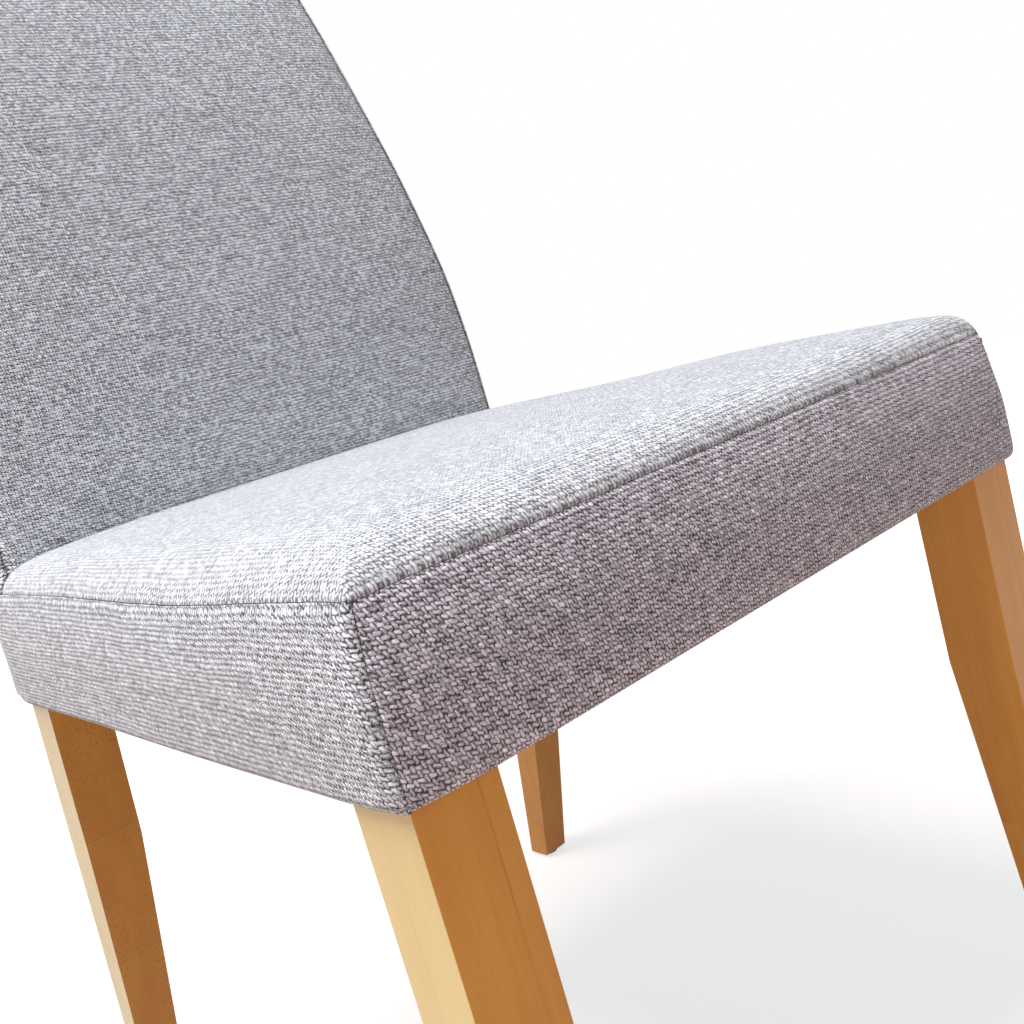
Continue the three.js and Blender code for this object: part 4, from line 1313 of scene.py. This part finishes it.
def moulded_plastic(name):
    plastic = Finish(name)
    x, y, z = plastic.object_place()
    place = plastic.point(x, y, z)
    grain = plastic.speckle(place, 1800, 2)
    scuffs = plastic.speckle(plastic.point(x * 900, y * 90, z * 900), 1, 3)
    worn = plastic.ease(z, 0.8 * mm, 0.0, 0, 1) * plastic.ease(scuffs, 0.5, 0.7)
    colour = plastic.blend(worn, (0.36, 0.29, 0.22), (0.52, 0.47, 0.41))
    return plastic.surface(Base_Color=colour, Roughness=plastic.ease(scuffs, 0.3, 0.7, 0.42, 0.6),
                           Normal=plastic.bump(0.25, 0.06 * mm, grain))


timber_across, timber_deep, timber_up = [sawn_timber("sawn timber along " + axis, axis) for axis in "xyz"]
ply_level, ply_upright = plywood("plywood lying", "z"), plywood("plywood standing", "y")
steel_finish, plastic_finish = plated_steel("zinc plated steel"), moulded_plastic("moulded nylon")

inner_finishes = [
    ("_bolt", steel_finish), ("_washer", steel_finish), ("_nut", steel_finish), ("_insert", steel_finish),
    ("_glide", plastic_finish), ("seat_board", ply_level), ("back_board", ply_upright),
    ("_post", timber_up), ("left_rail", timber_deep), ("right_rail", timber_deep), ("_rail", timber_across),
    ("_corner_block", timber_across),
]
counts = {}
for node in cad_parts:
    match = next((finish for ending, finish in inner_finishes if node.endswith(ending)), None)
    if match:
        finished(node, match)
        counts[match.name] = counts.get(match.name, 0) + 1
print("inner finishes", counts)

# %% [markdown]
# ## Dust cover
# A black non-woven sheet closes the seat from below. It is cut to size, notched round the legs and stapled
# to the rails, so it is stretched at its edges and hangs a little in the middle. It starts as a flat grid,
# is cut round the legs, and gets its slight sag by moving its points. Non-woven cloth has a pattern of
# pressed dots.

# %% Dust cover
def non_woven(name):
    felt = Finish(name)
    x, y, z = felt.object_place()
    dot_pitch = 2.4 * mm
    across, along = x / dot_pitch, y / dot_pitch
    dots = felt.math("COSINE", (across + along) * math.pi) * felt.math("COSINE", (across - along) * math.pi)
    pressed = felt.ease(dots, 0.35, 0.6)
    fibres = felt.speckle(felt.point(x * 900, y * 260, z), 1, 4, 0.7)
    colour = felt.blend(felt.ease(fibres, 0.35, 0.65), (0.012, 0.012, 0.013), (0.045, 0.045, 0.048))
    colour = felt.shade(colour, 1 - pressed * 0.35)
    bump = felt.bump(0.6, 0.2 * mm, fibres * 0.5 - pressed)
    return felt.surface(Base_Color=colour, Roughness=0.82, Specular_IOR_Level=0.3, Sheen_Weight=0.1,
                        Normal=bump)


lining_low, lining_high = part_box("dust_cover")
lining_size = lining_high - lining_low
lining = bmesh.new()
bmesh.ops.create_grid(lining, x_segments=42, y_segments=46, size=0.5)
bmesh.ops.scale(lining, vec=(lining_size.x, lining_size.y, 1), verts=lining.verts)
bmesh.ops.translate(lining, vec=(lining_low + lining_high) / 2, verts=lining.verts)
cut_round_legs(lining, lambda centre: True)
notches = [f for f in lining.faces if round_a_leg(f.calc_center_median())]
notched = sum(f.calc_area() for f in notches)
bmesh.ops.delete(lining, geom=notches, context="FACES")
lining_sag = 1.6 * mm
for vertex in lining.verts:
    from_edge = [(vertex.co[i] - lining_low[i]) / lining_size[i] for i in (0, 1)]
    hang = math.prod(math.sin(math.pi * min(1, max(0, share))) ** 0.6 for share in from_edge)
    ripple = 0.25 * noise.noise(Vector((vertex.co.x * 22, vertex.co.y * 22, 0.3)))
    vertex.co.z -= lining_sag * hang * (1 + ripple)
dust_sheet = object_from("dust_cover_sheet", lining)
dust_sheet.data.shade_smooth()
dust_sheet.data.materials.append(non_woven("black non-woven"))
wall = dust_sheet.modifiers.new("thickness", "SOLIDIFY")
wall.thickness = lining_size.z
wall.offset = 0
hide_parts("dust_cover")
lining_size.x * lining_size.y - notched
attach(dust_sheet, "root")
print("dust cover", [round(c / mm, 1) for c in lining_size], "notches", round(notched, 5), "square metres")

# %% [markdown]
# Staples hold the sheet's edge to the rails, a hand's width or less apart and never quite straight. Only
# the wire crown of each one shows, so that is all there is of it.

# %% Staples
staple_wide, staple_wire, staple_gap = 10 * mm, 0.7 * mm, 42 * mm
edge_in = 5 * mm
run_half, run_front, run_rear = 178 * mm, -250 * mm, 130 * mm
staples = bmesh.new()
runs = [((-run_half, y), (run_half, y)) for y in (lining_low.y + edge_in, lining_high.y - edge_in)]
runs += [((x, run_front), (x, run_rear)) for x in (lining_low.x + edge_in, lining_high.x - edge_in)]
count = 0
for start, end in runs:
    start, end = Vector(start), Vector(end)
    number = int((end - start).length / staple_gap) + 1
    heading = math.atan2(end.y - start.y, end.x - start.x)
    for step in range(number):
        place = start.lerp(end, step / (number - 1))
        askew = heading + 0.25 * noise.noise(Vector((place.x * 90, place.y * 90, 4.2)))
        crown_wire = bmesh.ops.create_cube(staples, size=1)["verts"]
        bmesh.ops.scale(staples, vec=(staple_wide, staple_wire * 1.6, staple_wire), verts=crown_wire)
        bmesh.ops.rotate(staples, matrix=Matrix.Rotation(askew, 3, "Z"), verts=crown_wire)
        below = lining_low.z - staple_wire * 0.55
        bmesh.ops.translate(staples, vec=(place.x, place.y, below), verts=crown_wire)
        count += 1
bmesh.ops.bevel(staples, geom=staples.edges[:], offset=0.2 * mm, segments=2, profile=0.5,
                affect="EDGES", material=-1)
staple_piece = object_from("dust_cover_staples", staples)
staple_piece.data.materials.append(steel_finish)
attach(staple_piece, "root")
print(count, "staples")
